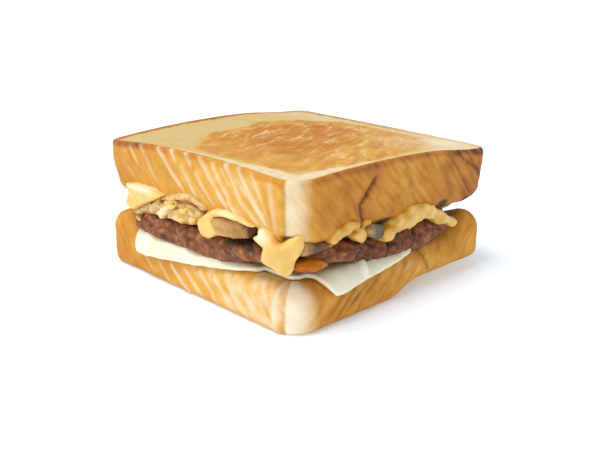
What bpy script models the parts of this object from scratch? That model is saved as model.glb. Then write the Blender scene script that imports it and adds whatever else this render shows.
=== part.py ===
"""Patty melt: two thick slices of toasted bread round a beef patty, melted cheese, grilled onions and sauce.

The sandwich lies flat with +Z up. Its sides face along X and Y, and its origin is at the middle of its base.
Each layer is a stack of rings: a cylinder whose vertices are moved on to a rounded square, ring by ring.
"""

import math

import bmesh
import bpy
from mathutils import Matrix, Vector, noise

MM = 0.001
UP = Vector((0, 0, 1))

# Bread. Both slices share one rounded square outline.
SLICE_HALF = 57.5 * MM
SLICE_CORNER = 11 * MM
SLICE_COLUMNS = 120
EDGE_ROUND = 8 * MM  # the soft edges that face the filling
LOWER_SLICE = 17.5 * MM  # top of the lower slice where the patty presses it flat
PRESS_SLOPE = 1.1  # how steeply it rises beyond the patty
PRESS_START = 2 * MM  # how softly that rise starts
PRESS_RISE = 13 * MM  # and how far at most
PRESSED_RINGS = (19 * MM, 13.5 * MM)  # insets of the rings on its upper face
BASE_ROUND = 3.5 * MM
UPPER_UNDERSIDE = 34.5 * MM
UPPER_CORNERS = 54.1 * MM  # mean height of the upper slice's four corners
UPPER_TIP = 0.7 * MM  # it tips down by this much towards +Y
UPPER_TWIST = 1.0 * MM
UPPER_BOW = 3.0 * MM  # and bows up between its corners
TOP_EDGE = 1.2 * MM

# Crust: slanted ridges all the way round, with soft dents between them.
RIDGE_SPACING = 8.4 * MM
RIDGE_DEPTH = 0.55 * MM
RIDGE_LEAN = 0.65
RIDGE_WANDER = 2.5 * MM
DENT_DEPTH = 0.5 * MM
DENT_SIZE = 11 * MM

# Filling, from the lower slice up. GAP parts two pieces that rest on each other.
GAP = 0.35 * MM
ROOM = 0.3 * MM  # cut round a piece where another runs past it
FLAT_ENOUGH = math.radians(7)  # facets that meet more flatly than this are joined after a cut
LARGEST_SCRAP = 20 * MM * MM  # of surface, that a cut may leave loose and that is dropped
CHEESE_THICKNESS = 1.9 * MM
CHEESE_CLEARANCE = 1.1 * MM  # from the ridged side of the bread
CHEESE_COLUMNS = 76
CHEESE_GAP = 0.5 * MM  # under the flat of the cheese
PATTY_HALF = 51 * MM
PATTY_CORNER = 27 * MM
PATTY_MIDDLE = Vector((4 * MM, -5 * MM, 0))
PATTY_COLUMNS = 96
PATTY_BOTTOM = LOWER_SLICE + CHEESE_GAP + CHEESE_THICKNESS + GAP
PATTY_TOP = 28.6 * MM
PATTY_CRAG = 1.7 * MM
PATTY_CORNER_RISE = 3 * MM  # it stands higher at the corner with the drip
ONION_BOTTOM = 29.9 * MM
SAUCE_BOTTOM = 32.4 * MM
SAUCE_TOP = UPPER_UNDERSIDE - 1.3 * GAP
ONION_TOP = SAUCE_BOTTOM - GAP
LAYER_HALF = 54 * MM
LAYER_CORNER = 18 * MM
LAYER_COLUMNS = 64
LAYER_WANDER = 1.6 * MM


# ---- Form functions -------------------------------------------------------------------------


def ramp(low, high, value):
    """0 up to low, 1 from high on, and smooth in between."""
    share = min(max((value - low) / (high - low), 0.0), 1.0)
    return share * share * (3 - 2 * share)


def bump(middle, width, value):
    """1 at the middle, falling to 0 at this distance from it."""
    return 1 - ramp(0, width, abs(value - middle))


def outline(turn, half, corner):
    """Point and outward direction on a rounded square, at this share of the way round from the middle of +X."""
    straight = half - corner
    quarter = 2 * straight + math.pi / 2 * corner
    side, along = divmod(turn * 4 * quarter + straight, quarter)
    if along < 2 * straight:
        point, out = Vector((half, along - straight, 0)), Vector((1, 0, 0))
    else:
        angle = (along - 2 * straight) / corner
        out = Vector((math.cos(angle), math.sin(angle), 0))
        point = Vector((straight, straight, 0)) + out * corner
    spin = Matrix.Rotation(side * math.pi / 2, 3, "Z")
    return spin @ point, spin @ out


def beyond_patty(x, y):
    """How far a point lies outside the patty's outline, or 0 inside it."""
    straight = PATTY_HALF - PATTY_CORNER
    away_x = max(abs(x - PATTY_MIDDLE.x) - straight, 0.0)
    away_y = max(abs(y - PATTY_MIDDLE.y) - straight, 0.0)
    return max(math.hypot(away_x, away_y) - PATTY_CORNER, 0.0)


def lower_slice_top(x, y):
    """Height of the lower slice: flat under the patty, and rising round it."""
    away = beyond_patty(x, y)
    rise = PRESS_SLOPE * away * away / (away + PRESS_START)
    return LOWER_SLICE + PRESS_RISE * math.tanh(rise / PRESS_RISE)


def upper_slice_top(x, y):
    across, along = x / SLICE_HALF, y / SLICE_HALF
    bow = UPPER_BOW * (1 - (across * along) ** 2) * (1 - 0.9 * ramp(0.3, 1.0, along))
    return UPPER_CORNERS - UPPER_TIP * along - UPPER_TWIST * across * along + bow


def lumps(point, size, seed):
    """Smooth noise from about -1 to 1, with lumps of about this size."""
    return noise.noise(point / size + Vector((seed, seed, seed)))


def crust(turn, point, lean, seed):
    """How far the ridged crust stands out at a point on the side of a slice."""
    way_round = turn * 8 * SLICE_HALF + RIDGE_WANDER * lumps(point, 4 * DENT_SIZE, seed)
    ridge = math.cos((way_round + lean * point.z) / RIDGE_SPACING * math.tau)
    strength = 0.7 + lumps(point, 2 * DENT_SIZE, seed + 3)
    return RIDGE_DEPTH * ridge * max(strength, 0.0) + DENT_DEPTH * lumps(point, DENT_SIZE, seed + 7)


# ---- Building blocks ------------------------------------------------------------------------


def finish(name, color, roughness):
    made = bpy.data.materials.new(name)
    made.diffuse_color = (*color, 1)
    made.use_nodes = True
    shader = made.node_tree.nodes["Principled BSDF"]
    shader.inputs["Base Color"].default_value = (*color, 1)
    shader.inputs["Roughness"].default_value = roughness
    shader.inputs["Metallic"].default_value = 0.0
    return made


def mesh_from(bm, name):
    """A mesh of triangles, so that a copy of it bends along the same lines."""
    bmesh.ops.triangulate(bm, faces=[face for face in bm.faces if len(face.verts) < 20])
    mesh = bpy.data.meshes.new(name)
    bm.to_mesh(mesh)
    bm.free()
    mesh.shade_smooth()
    return mesh


def add_object(name, mesh, collection):
    made = bpy.data.objects.new(name, mesh)
    collection.objects.link(made)
    return made


def ring_stack(name, columns, rings, place, flat_base=False):
    """A closed solid: a cylinder whose vertices move to place(turn, ring), with turn from 0 to 1.

    Each end is a fan round place(None, ring), or one flat face where flat_base is true.
    """
    bm = bmesh.new()
    top = rings - 1
    bmesh.ops.create_cone(bm, cap_ends=True, segments=columns, radius1=1, radius2=1, depth=top)
    upright = [edge for edge in bm.edges if abs(edge.verts[0].co.z - edge.verts[1].co.z) > 0.5]
    bmesh.ops.subdivide_edges(bm, edges=upright, cuts=rings - 2)
    ends = [face for face in bm.faces if len(face.verts) == columns]
    if flat_base:
        ends = [face for face in ends if face.normal.z > 0.5]
    middles = set(bmesh.ops.poke(bm, faces=ends)["verts"])
    for vert in bm.verts:
        ring = round(vert.co.z + top / 2)
        turn = None if vert in middles else math.atan2(vert.co.y, vert.co.x) / math.tau % 1.0
        vert.co = place(turn, ring)
    return mesh_from(bm, name)


def ring_sheet(name, columns, rings, place):
    """An open sheet: a disc of this many rings, each vertex moved to place(turn, ring), with ring 0 its middle."""
    bm = bmesh.new()
    bmesh.ops.create_circle(bm, cap_ends=True, cap_tris=True, segments=columns, radius=1)
    for ring in range(2, rings + 1):
        edges = [edge for edge in bm.edges if edge.is_boundary]
        grown = bmesh.ops.extrude_edge_only(bm, edges=edges)["geom"]
        for vert in grown:
            if isinstance(vert, bmesh.types.BMVert):
                vert.co *= ring / (ring - 1)
    for vert in bm.verts:
        ring = round(vert.co.length)
        turn = math.atan2(vert.co.y, vert.co.x) / math.tau % 1.0
        vert.co = place(turn, ring)
    bmesh.ops.recalc_face_normals(bm, faces=bm.faces)
    if sum(face.normal.z for face in bm.faces) < 0:
        bmesh.ops.reverse_faces(bm, faces=bm.faces)
    return mesh_from(bm, name)


def blob(name, middle, radii, turned=(0, 0, 0), segments=10, rings=7):
    """A drop or lump with its middle and radii in millimetres, turned by degrees about X, Y and Z."""
    bm = bmesh.new()
    bmesh.ops.create_uvsphere(bm, u_segments=segments, v_segments=rings, radius=1)
    spin = Matrix.Identity(3)
    for degrees, axis in zip(turned, "XYZ"):
        spin = Matrix.Rotation(math.radians(degrees), 3, axis) @ spin
    for vert in bm.verts:
        swell = 1 + 0.15 * noise.noise(vert.co * 1.5 + Vector(middle))
        size = Vector([axis * radius for axis, radius in zip(vert.co, radii)])
        vert.co = (Vector(middle) + spin @ size * swell) * MM
    return mesh_from(bm, name)


def ribbon(name, route, width, thickness):
    """A strip of onion: a curve through the route, in millimetres, with a flat rounded section that stands up."""
    curve = bpy.data.curves.new(name, "CURVE")
    curve.dimensions = "3D"
    curve.twist_mode = "Z_UP"
    curve.extrude = (width - thickness) / 2 * MM
    curve.bevel_depth = thickness / 2 * MM
    curve.bevel_resolution = 1
    curve.use_fill_caps = True
    spline = curve.splines.new("POLY")
    spline.points.add(len(route) - 1)
    for point, spot in zip(spline.points, route):
        point.co = (*(Vector(spot) * MM), 1)
    source = add_object(name, curve, bpy.context.scene.collection)
    open_caps = evaluated_mesh(source, name)
    bpy.data.objects.remove(source)
    bm = bmesh.new()
    bm.from_mesh(open_caps)
    bmesh.ops.remove_doubles(bm, verts=bm.verts, dist=0.01 * MM)
    return mesh_from(bm, name)


def evaluated_mesh(source, name):
    """The object's mesh with its modifiers applied."""
    bpy.context.view_layer.update()
    graph = bpy.context.evaluated_depsgraph_get()
    mesh = bpy.data.meshes.new_from_object(source.evaluated_get(graph), depsgraph=graph)
    mesh.name = name
    mesh.shade_smooth()
    return mesh


def swollen(mesh, amount):
    """A copy of a solid's mesh with each vertex moved out along its normal, to cut room for the solid."""
    bm = bmesh.new()
    bm.from_mesh(mesh)
    bm.normal_update()
    moved = [(vert, vert.co + vert.normal * amount) for vert in bm.verts]
    for vert, place in moved:
        vert.co = place
    return mesh_from(bm, mesh.name + "_room")


def largest_body(mesh, name):
    """The mesh without the loose scraps that a cut leaves."""
    bm = bmesh.new()
    bm.from_mesh(mesh)
    bmesh.ops.triangulate(bm, faces=bm.faces)
    bmesh.ops.dissolve_degenerate(bm, dist=0.003 * MM, edges=bm.edges)
    bodies, seen = [], set()
    for start in bm.faces:
        if start in seen:
            continue
        body, waiting = [], [start]
        seen.add(start)
        while waiting:
            face = waiting.pop()
            body.append(face)
            edges = [edge for edge in face.edges if len(edge.link_faces) == 2]
            linked = {other for edge in edges for other in edge.link_faces} - seen
            seen |= linked
            waiting.extend(linked)
        bodies.append(body)
    bodies.sort(key=lambda body: sum(face.calc_area() for face in body))
    for body in bodies[:-1]:
        if sum(face.calc_area() for face in body) > LARGEST_SCRAP:
            raise ValueError(f"{name}: a lump near {body[0].calc_center_median() / MM} came loose")
        bmesh.ops.delete(bm, geom=body, context="FACES")
    bmesh.ops.dissolve_limit(bm, angle_limit=FLAT_ENOUGH, verts=bm.verts, edges=bm.edges)
    return mesh_from(bm, name)


def fuse_and_cut(name, core, lumps_on_it, neighbours):
    """One solid: the core and its lumps joined, with room cut for each neighbour."""
    fused = bpy.data.collections.new(name + "_lumps")
    cutters = bpy.data.collections.new(name + "_cutters")
    bpy.context.scene.collection.children.link(fused)
    bpy.context.scene.collection.children.link(cutters)
    for lump in lumps_on_it:
        add_object(lump.name, lump, fused)
    for neighbour in neighbours:
        add_object(neighbour.name, swollen(neighbour, ROOM), cutters)
    source = add_object(name, core, bpy.context.scene.collection)
    for collection, operation in ((fused, "UNION"), (cutters, "DIFFERENCE")):
        if not collection.objects:
            continue
        modifier = source.modifiers.new(operation.lower(), "BOOLEAN")
        modifier.operation = operation
        modifier.solver = "MANIFOLD"
        modifier.operand_type = "COLLECTION"
        modifier.collection = collection
    made = largest_body(evaluated_mesh(source, name), name)
    for collection in (fused, cutters):
        for helper in list(collection.objects):
            bpy.data.objects.remove(helper)
        bpy.data.collections.remove(collection)
    bpy.data.objects.remove(source)
    return made


# ---- The pieces -----------------------------------------------------------------------------


def quarter_round(steps):
    """(Inset, height) shares of a rounded edge, from the side up to the flat."""
    angles = [math.pi / 2 * step / steps for step in range(steps + 1)]
    return [(1 - math.cos(angle), math.sin(angle)) for angle in angles]


def slice_point(turn, inset, relief=0.0):
    """A point on the slice's outline, moved in by this much. Far in, the outline shrinks towards the middle."""
    point, out = outline(turn, SLICE_HALF, SLICE_CORNER)
    if inset > EDGE_ROUND:
        edge = point - out * EDGE_ROUND
        return edge * (SLICE_HALF - inset) / (SLICE_HALF - EDGE_ROUND)
    return point - out * (inset - relief)


def lower_slice_height(turn, inset):
    """Height of the lower slice's upper face, straight between its rings as its facets are."""
    rings = [*PRESSED_RINGS, EDGE_ROUND]
    inset = min(max(inset, EDGE_ROUND), rings[0])
    outer = next(ring for ring in rings if ring <= inset)
    inner = next((ring for ring in reversed(rings) if ring > outer), outer + 1)
    near, far = slice_point(turn, outer), slice_point(turn, inner)
    share = (inset - outer) / (inner - outer)
    low, high = lower_slice_top(near.x, near.y), lower_slice_top(far.x, far.y)
    return low + (high - low) * share


def bread_bottom():
    """The lower slice: flat base, ridged side, and a soft upper edge that rises round the patty."""
    side = [(BASE_ROUND, 0.0), (0.25 * BASE_ROUND, 0.13), (0.0, 0.42), (0.0, 0.75)]
    edge = quarter_round(3)
    inner = list(reversed(PRESSED_RINGS))
    last_side, last_edge = len(side) - 1, len(side) + len(edge) - 1

    def place(turn, ring):
        if turn is None:
            return UP * LOWER_SLICE
        if ring > last_edge:
            point = slice_point(turn, inner[ring - last_edge - 1])
            return point + UP * lower_slice_top(point.x, point.y)
        rim = slice_point(turn, EDGE_ROUND)
        shoulder = lower_slice_top(rim.x, rim.y) - EDGE_ROUND
        if ring > last_side:
            inset, height = edge[ring - len(side)]
            inset, height = inset * EDGE_ROUND, shoulder + height * EDGE_ROUND
        else:
            inset, height = side[ring][0], side[ring][1] * shoulder
        point = slice_point(turn, inset) + UP * height
        fade = 0.0 if ring in (0, last_edge) else 1 - inset / EDGE_ROUND
        return slice_point(turn, inset, crust(turn, point, RIDGE_LEAN, 1) * fade) + UP * height

    return ring_stack("bread_bottom", SLICE_COLUMNS, last_edge + 1 + len(inner), place, flat_base=True)


def bread_top():
    """The upper slice: flat underside, soft lower edge, ridged side and a crisp edge round its bowed top."""
    inner = [24 * MM]
    edge = [(inset * EDGE_ROUND, height) for inset, height in reversed(quarter_round(3))]
    shoulder = UPPER_UNDERSIDE + EDGE_ROUND + 1 * MM
    crisp = [(0.0, 0.45), (0.0, 1 - 0.1), (0.25 * TOP_EDGE, 0.98), (TOP_EDGE, 1.0)]
    crown = [9 * MM, 28 * MM]
    first_edge, first_crisp = len(inner), len(inner) + len(edge)
    first_crown = first_crisp + len(crisp)
    rings = first_crown + len(crown)

    def place(turn, ring):
        if turn is None:
            return UP * (UPPER_UNDERSIDE if ring == 0 else upper_slice_top(0, 0))
        if ring < first_edge:
            return slice_point(turn, inner[ring]) + UP * UPPER_UNDERSIDE
        if ring >= first_crown:
            point = slice_point(turn, crown[ring - first_crown])
            return point + UP * upper_slice_top(point.x, point.y)
        if ring < first_crisp:
            inset, share = edge[ring - first_edge]
            height = UPPER_UNDERSIDE + (shoulder - UPPER_UNDERSIDE) * (1 - share)
        else:
            inset, share = crisp[ring - first_crisp]
            rim = slice_point(turn, 0)
            height = shoulder + (upper_slice_top(rim.x, rim.y) - shoulder) * share
        point = slice_point(turn, inset) + UP * height
        fade = 1 - inset / EDGE_ROUND
        return slice_point(turn, inset, crust(turn, point, RIDGE_LEAN, 20) * fade) + UP * height

    return ring_stack("bread_top", SLICE_COLUMNS, rings, place)


def patty():
    """A thick patty, squarish and craggy round its side."""
    top = PATTY_TOP - PATTY_BOTTOM
    rings = [
        (12 * MM, 0.0), (4 * MM, 0.06), (0.9 * MM, 0.27), (0.0, 0.5),
        (0.5 * MM, 0.76), (2.8 * MM, 0.97), (13 * MM, 1.0),
    ]

    def place(turn, ring):
        inset, share = rings[ring]
        if turn is None:
            return PATTY_MIDDLE + UP * (PATTY_BOTTOM + top * share)
        point, out = outline(turn, PATTY_HALF, PATTY_CORNER)
        point = PATTY_MIDDLE + point - out * inset
        corner = ramp(33 * MM, 46 * MM, (point.x - point.y) / 2)
        height = PATTY_BOTTOM + (top + PATTY_CORNER_RISE * corner) * share
        place_now = point + UP * height
        crag = lumps(place_now, 8 * MM, 40) + 0.7 * lumps(place_now, 4 * MM, 50)
        on_side = ramp(0.0, 0.2, share) * (1 - ramp(0.97, 1.0, share))
        return place_now + out * PATTY_CRAG * (crag - 0.4) * on_side + UP * 0.5 * MM * crag * on_side

    return ring_stack("patty", PATTY_COLUMNS, len(rings), place)


def cheese_reach(x, y):
    """How far the cheese runs on past the start of the soft edge, at this point of the outline."""
    if y < -0.9 * SLICE_HALF and x < 0.8 * SLICE_HALF:  # down the -Y side, deepest at its far end
        started = ramp(-38 * MM, -33.5 * MM, x)
        return -4 * MM + started * (18 * MM - 8.5 * MM * ramp(-36 * MM, 22 * MM, x))
    if x > 0.9 * SLICE_HALF:  # a tongue down the +X side, near the same corner
        tongue = ramp(-54 * MM, -36 * MM, y) * (1 - 0.35 * ramp(-30 * MM, 2 * MM, y))
        return -4 * MM + (9.5 * MM + 7.5 * MM * tongue) * (1 - ramp(0, 16 * MM, y))
    if x > 0 > y:
        return 5.5 * MM
    return -4 * MM + 11 * MM * bump(6 * MM, 42 * MM, x if y > 0.9 * SLICE_HALF else y)


def cheese(bread):
    """A melted slice: flat under the patty, over the bread's soft edge and down its sides."""
    hanging = 4
    bend = EDGE_ROUND + CHEESE_CLEARANCE

    def place(turn, ring):
        if ring == 0:
            return UP * (LOWER_SLICE + CHEESE_GAP)
        if ring <= len(PRESSED_RINGS):
            inset = PRESSED_RINGS[ring - 1]
            return slice_point(turn, inset) + UP * (lower_slice_height(turn, inset) + CHEESE_GAP)
        rim, edge = slice_point(turn, EDGE_ROUND), slice_point(turn, 0)
        reach = cheese_reach(edge.x, edge.y)
        start = min((reach - 5 * MM) / 2, 0.0)
        run = start + (reach - start) * (ring - len(PRESSED_RINGS) - 1) / (hanging - 1)
        if run <= 0:
            inset = EDGE_ROUND - run
            return slice_point(turn, inset) + UP * (lower_slice_height(turn, inset) + CHEESE_GAP)
        out = (edge - rim).normalized()
        angle = min(run / bend, math.pi / 2)
        below = max(run - bend * math.pi / 2, 0.0)
        stand_off = EDGE_ROUND + CHEESE_GAP + (CHEESE_CLEARANCE - CHEESE_GAP) * ramp(0, 0.5, angle)
        height = lower_slice_height(turn, EDGE_ROUND) - EDGE_ROUND + stand_off * math.cos(angle)
        return rim + out * stand_off * math.sin(angle) + UP * (height - below)

    sheet = ring_sheet("cheese", CHEESE_COLUMNS, len(PRESSED_RINGS) + hanging, place)
    source = add_object("cheese", sheet, bpy.context.scene.collection)
    solidify = source.modifiers.new("thickness", "SOLIDIFY")
    solidify.thickness = CHEESE_THICKNESS
    solidify.offset = 1.0
    made = evaluated_mesh(source, "cheese")
    bpy.data.objects.remove(source)
    return fuse_and_cut("cheese", made, [], [bread])


def layer_core(name, bottom, top, half):
    """A flat layer between the patty and the upper slice, with an uneven edge."""

    def place(turn, ring):
        height = UP * (bottom, top)[ring]
        if turn is None:
            return height
        point, out = outline(turn, half, LAYER_CORNER)
        return point + out * LAYER_WANDER * lumps(point + height, 9 * MM, 60) + height

    return ring_stack(name, LAYER_COLUMNS, 2, place)


def browned_onion():
    """A broad browned strip that lies under the patty at the corner, on the cheese."""
    return blob("onion_browned", (54, -42.5, 24.2), (3.6, 9.5, 2.7), (4, 0, -6), 14, 9)


def onions(patty_mesh, neighbours):
    """Grilled onions: a flat core, with the strips and the thick pieces that show fused on."""
    strips = [
        [(-47, -50, 30.5), (-40, -54, 30.8), (-32, -56.5, 30.5), (-22, -58, 30.2), (-12, -57, 30.5)],
        [(-30, -55, 32.2), (-22, -56.5, 32.6), (-12, -58, 32.4), (-3, -57, 31.4), (4, -53, 30.6)],
        [(-50, -34, 30.5), (-56.5, -16, 30.6), (-55, 0, 30.4), (-49, 8, 30.5)],
        [(-49, 16, 30.5), (-55, 26, 30.5), (-46, 45, 30.5)],
        [(-34, 49, 30.5), (-22, 56, 30.5), (-8, 56.5, 30.4), (2, 53, 30.5)],
        [(10, 51, 30.5), (24, 56, 30.5), (42, 46, 30.5)],
        [(46, 40, 30.5), (54, 30, 30.6), (53, 16, 30.5)],
    ]
    pieces = [ribbon(f"strip_{index}", route, 3.1, 1.6) for index, route in enumerate(strips)]
    pieces.append(blob("slab", (23.5, -56.5, 33.2), (14.5, 4.6, 3.7), (0, 4, 0), 16, 10))
    pieces.append(blob("wedge", (56.5, -13.5, 30.2), (3.8, 5.6, 4.0), (0, 0, 8), 12, 8))
    core = layer_core("onions", ONION_BOTTOM, ONION_TOP, LAYER_HALF)
    return fuse_and_cut("onions", core, pieces, neighbours)


def sauce(neighbours):
    """Thick sauce under the upper slice, with the lobes and drips that have run out of it."""
    drops = [
        ((-35, -53, 33.6), (11, 7.5, 4.4), (0, -8, 0)),  # broad lobe at the far end of the -Y side
        ((-42, -50, 34.2), (6.5, 7, 4.0), (0, 0, 35)),
        ((6.5, -54.5, 31.5), (4.6, 6.5, 6.0), (0, 10, 0)),
        ((17, -54.5, 37.6), (13.5, 5.5, 2.1), (0, -3, 0)),  # over the thick piece of onion
        ((40, -55, 33.0), (3.8, 6.0, 4.2), (0, 0, 0)),
        ((50, -51.5, 31), (9.5, 9, 7), (0, 0, 0)),  # the big drip at the front corner
        ((54.5, -53.5, 27), (5.0, 5.0, 4.6), (0, 0, 0)),
        ((55, -33, 32.6), (5.0, 6.8, 2.7), (-18, 0, 0)),
        ((55, -22.5, 30.8), (5.5, 3.6, 3.6), (0, 0, 0)),
        ((55.5, -3, 29.8), (5.0, 8.5, 4.2), (10, 0, 0)),
        ((55, 14, 32.2), (5.2, 12.5, 3.4), (4, 0, 0)),
        ((55, 32, 28.8), (4.8, 11.5, 3.6), (-20, 0, 0)),
        ((-16, 54, 32.2), (9, 6, 3.4), (0, 0, 0)),
        ((24, 54, 32.4), (10, 5.5, 3.0), (0, 0, 0)),
        ((-54.5, -16, 32.2), (5.4, 9, 3.2), (0, 0, 0)),
        ((-54, 28, 31.8), (5.4, 7, 3.6), (0, 0, 0)),
    ]
    pieces = [blob(f"drop_{index}", *drop) for index, drop in enumerate(drops)]
    core = layer_core("sauce", SAUCE_BOTTOM, SAUCE_TOP, LAYER_HALF)
    return fuse_and_cut("sauce", core, pieces, neighbours)


def main():
    for old in list(bpy.data.objects):
        bpy.data.objects.remove(old)
    parts = bpy.data.collections.new("patty_melt")
    bpy.context.scene.collection.children.link(parts)

    lower, upper, meat = bread_bottom(), bread_top(), patty()
    melted = cheese(lower)
    browned = fuse_and_cut("onion_browned", browned_onion(), [], [lower, meat, melted])
    grilled = onions(meat, [upper, lower, meat, melted])
    spread = sauce([upper, lower, meat, melted, grilled, browned])

    crumb = finish("toasted_bread", (0.79, 0.47, 0.17), 0.75)
    finishes = {
        "bread_bottom": (lower, crumb),
        "cheese": (melted, finish("white_cheese", (0.92, 0.86, 0.66), 0.35)),
        "patty": (meat, finish("beef", (0.24, 0.12, 0.08), 0.6)),
        "onion_browned": (browned, finish("browned_onion", (0.42, 0.17, 0.03), 0.35)),
        "onions": (grilled, finish("grilled_onion", (0.5, 0.36, 0.17), 0.4)),
        "sauce": (spread, finish("creamy_sauce", (0.87, 0.62, 0.24), 0.35)),
        "bread_top": (upper, crumb),
    }
    corners = [vert.co for mesh, made in finishes.values() for vert in mesh.vertices]
    lows = [min(corner[axis] for corner in corners) for axis in range(3)]
    highs = [max(corner[axis] for corner in corners) for axis in range(3)]
    middle = Vector([(low + high) / 2 for low, high in zip(lows, highs)])
    to_origin = Matrix.Translation((-middle.x, -middle.y, 0))
    for name, (mesh, made) in finishes.items():
        mesh.transform(to_origin)
        mesh.materials.clear()
        mesh.materials.append(made)
        add_object(name, mesh, parts)


main()
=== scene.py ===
"""Patty melt: the looks of two toasted slices of bread round cheese, a beef patty, grilled onions and sauce.

Tables and form functions are in millimetres from the middle of the slices, with +Z up and the base at 0.
A position round a slice is a share of one turn, from the middle of +X towards +Y.
"""

import math
import random

import bmesh
import bpy
import numpy as np
from bpy.props import FloatProperty, FloatVectorProperty, PointerProperty
from mathutils import Matrix, Vector, noise


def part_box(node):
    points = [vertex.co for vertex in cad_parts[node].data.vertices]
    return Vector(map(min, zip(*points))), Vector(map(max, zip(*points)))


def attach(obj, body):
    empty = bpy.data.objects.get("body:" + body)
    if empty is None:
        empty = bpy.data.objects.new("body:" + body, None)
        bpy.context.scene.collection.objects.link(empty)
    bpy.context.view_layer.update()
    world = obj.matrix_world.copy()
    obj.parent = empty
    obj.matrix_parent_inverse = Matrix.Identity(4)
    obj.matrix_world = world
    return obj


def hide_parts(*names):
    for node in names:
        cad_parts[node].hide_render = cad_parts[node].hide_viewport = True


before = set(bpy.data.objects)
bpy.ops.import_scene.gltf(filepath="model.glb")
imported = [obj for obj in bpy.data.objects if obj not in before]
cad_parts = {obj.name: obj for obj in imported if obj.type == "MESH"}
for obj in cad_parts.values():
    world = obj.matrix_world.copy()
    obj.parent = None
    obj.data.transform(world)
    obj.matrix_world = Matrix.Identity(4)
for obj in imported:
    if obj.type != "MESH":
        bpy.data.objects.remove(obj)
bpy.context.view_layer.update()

bl_info = {
    "name": "Patty melt",
    "version": (1, 0, 0),
    "blender": (4, 5, 0),
    "location": "3D View > Sidebar > Patty melt",
    "description": "Toasted bread, melted cheese, a beef patty, grilled onions and sauce",
    "category": "Add Mesh",
}

MM = 0.001
UP = Vector((0, 0, 1))
BREAD_LOW, BREAD_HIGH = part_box("bread_bottom")
ROW_MIDDLE = Vector(((BREAD_LOW.x + BREAD_HIGH.x) / 2, (BREAD_LOW.y + BREAD_HIGH.y) / 2, 0))
TO_PLACE = Matrix.Translation(ROW_MIDDLE) @ Matrix.Scale(MM, 4)

# Bread, as its solids have it
HALF = 57.5
CORNERS = (8.0, 8.0, 4.3, 11.0)  # radii of the lower slice, each of the corner after side 0 to 3
UPPER_RADII = (8.0, 8.0, 7.4, 11.0)
SHARPEST = 1.5  # smallest radius of a corner that is moved in
QUARTER = 110.3  # of the way round
EDGE_ROUND = 8.0
LOWER_SLICE = 17.5
PRESS_SLOPE, PRESS_START, PRESS_RISE = 1.1, 2.0, 13.0
PRESSED_HALF, PRESSED_CORNER = 51.0, 27.0  # outline of what presses the lower slice flat
PRESSED_MIDDLE = Vector((4, -5, 0))
BASE_ROUND = 3.5
BASE_LIFT, LIFT_WIDTH = 4.8, 24.0  # of its far right corner, off the table
UPPER_UNDERSIDE = 34.5
UPPER_CORNERS, UPPER_TIP, UPPER_TWIST, UPPER_BOW = 54.1, 0.7, 1.0, 3.0
TOP_EDGE = 1.2
UNDER_INSET, UNDER_HEIGHT = 3.6, 4.5  # its soft lower edge
SLICE_CUTS = 159  # across a slice
CRUST_CUTS = 43  # up its side

PATTY_HALF = 52.4
PATTY_CORNERS = (27.0, 27.0, 17.0, 25.0)
PATTY_MIDDLE = Vector((4.5, -5.5, 0))
PATTY_BOTTOM, PATTY_TOP = 20.25, 28.6
PATTY_CORNER_RISE = 3.0
PATTY_CRACKS = ((-7.4, 1.0), (8.6, 0.6), (-24, 0.35))  # in its right side: (along, depth)
PATTY_DROOP = 3.6  # over the soft edge of the lower slice
MINCE_SIZE = 2.3
CHEESE_CLEARANCE, CHEESE_GAP = 1.1, 0.5
ONION_BOTTOM, ONION_TOP = 29.9, 32.05
SAUCE_BOTTOM, SAUCE_TOP = 32.4, 34.05
LAYER_HALF, LAYER_CORNER = 53.4, 18.0
LOBE_CROWN = 0.9
ONION_VOXEL, SAUCE_VOXEL = 0.55, 0.57  # of the skins that melt overlapping shapes together

# Looks of the crust
# Painted highlight on the raised ridges and painted shade in the grooves of the crust
RIDGE_HIGHLIGHT, GROOVE_SHADE = 0.55, 0.75
# Painted highlight band at the front corner of each slice, with painted shade in the crease at its edge
HIGHLIGHT_BAND_EDGE = -58.5  # where the pale band at the front corner starts, in millimetres round
LOWER_HIGHLIGHT_END, UPPER_HIGHLIGHT_END = -42.5, -46.5
STROKE_TURN, STROKE_LENGTH = math.radians(28), 4.2  # of the light strokes on top

# Lights: name, degrees of softness, direction that it comes from
LIGHTS = (("key", 24, (-0.2, -0.62, 1.8)), ("fill", 90, (-0.35, -1.0, 0.4)), ("front", 90, (0.7, -0.7, 0.35)))
SKY_TINT, FLOOR_TINT = (0.92, 0.965, 1.0, 1), (0.86, 0.93, 1.0, 1)
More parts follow.
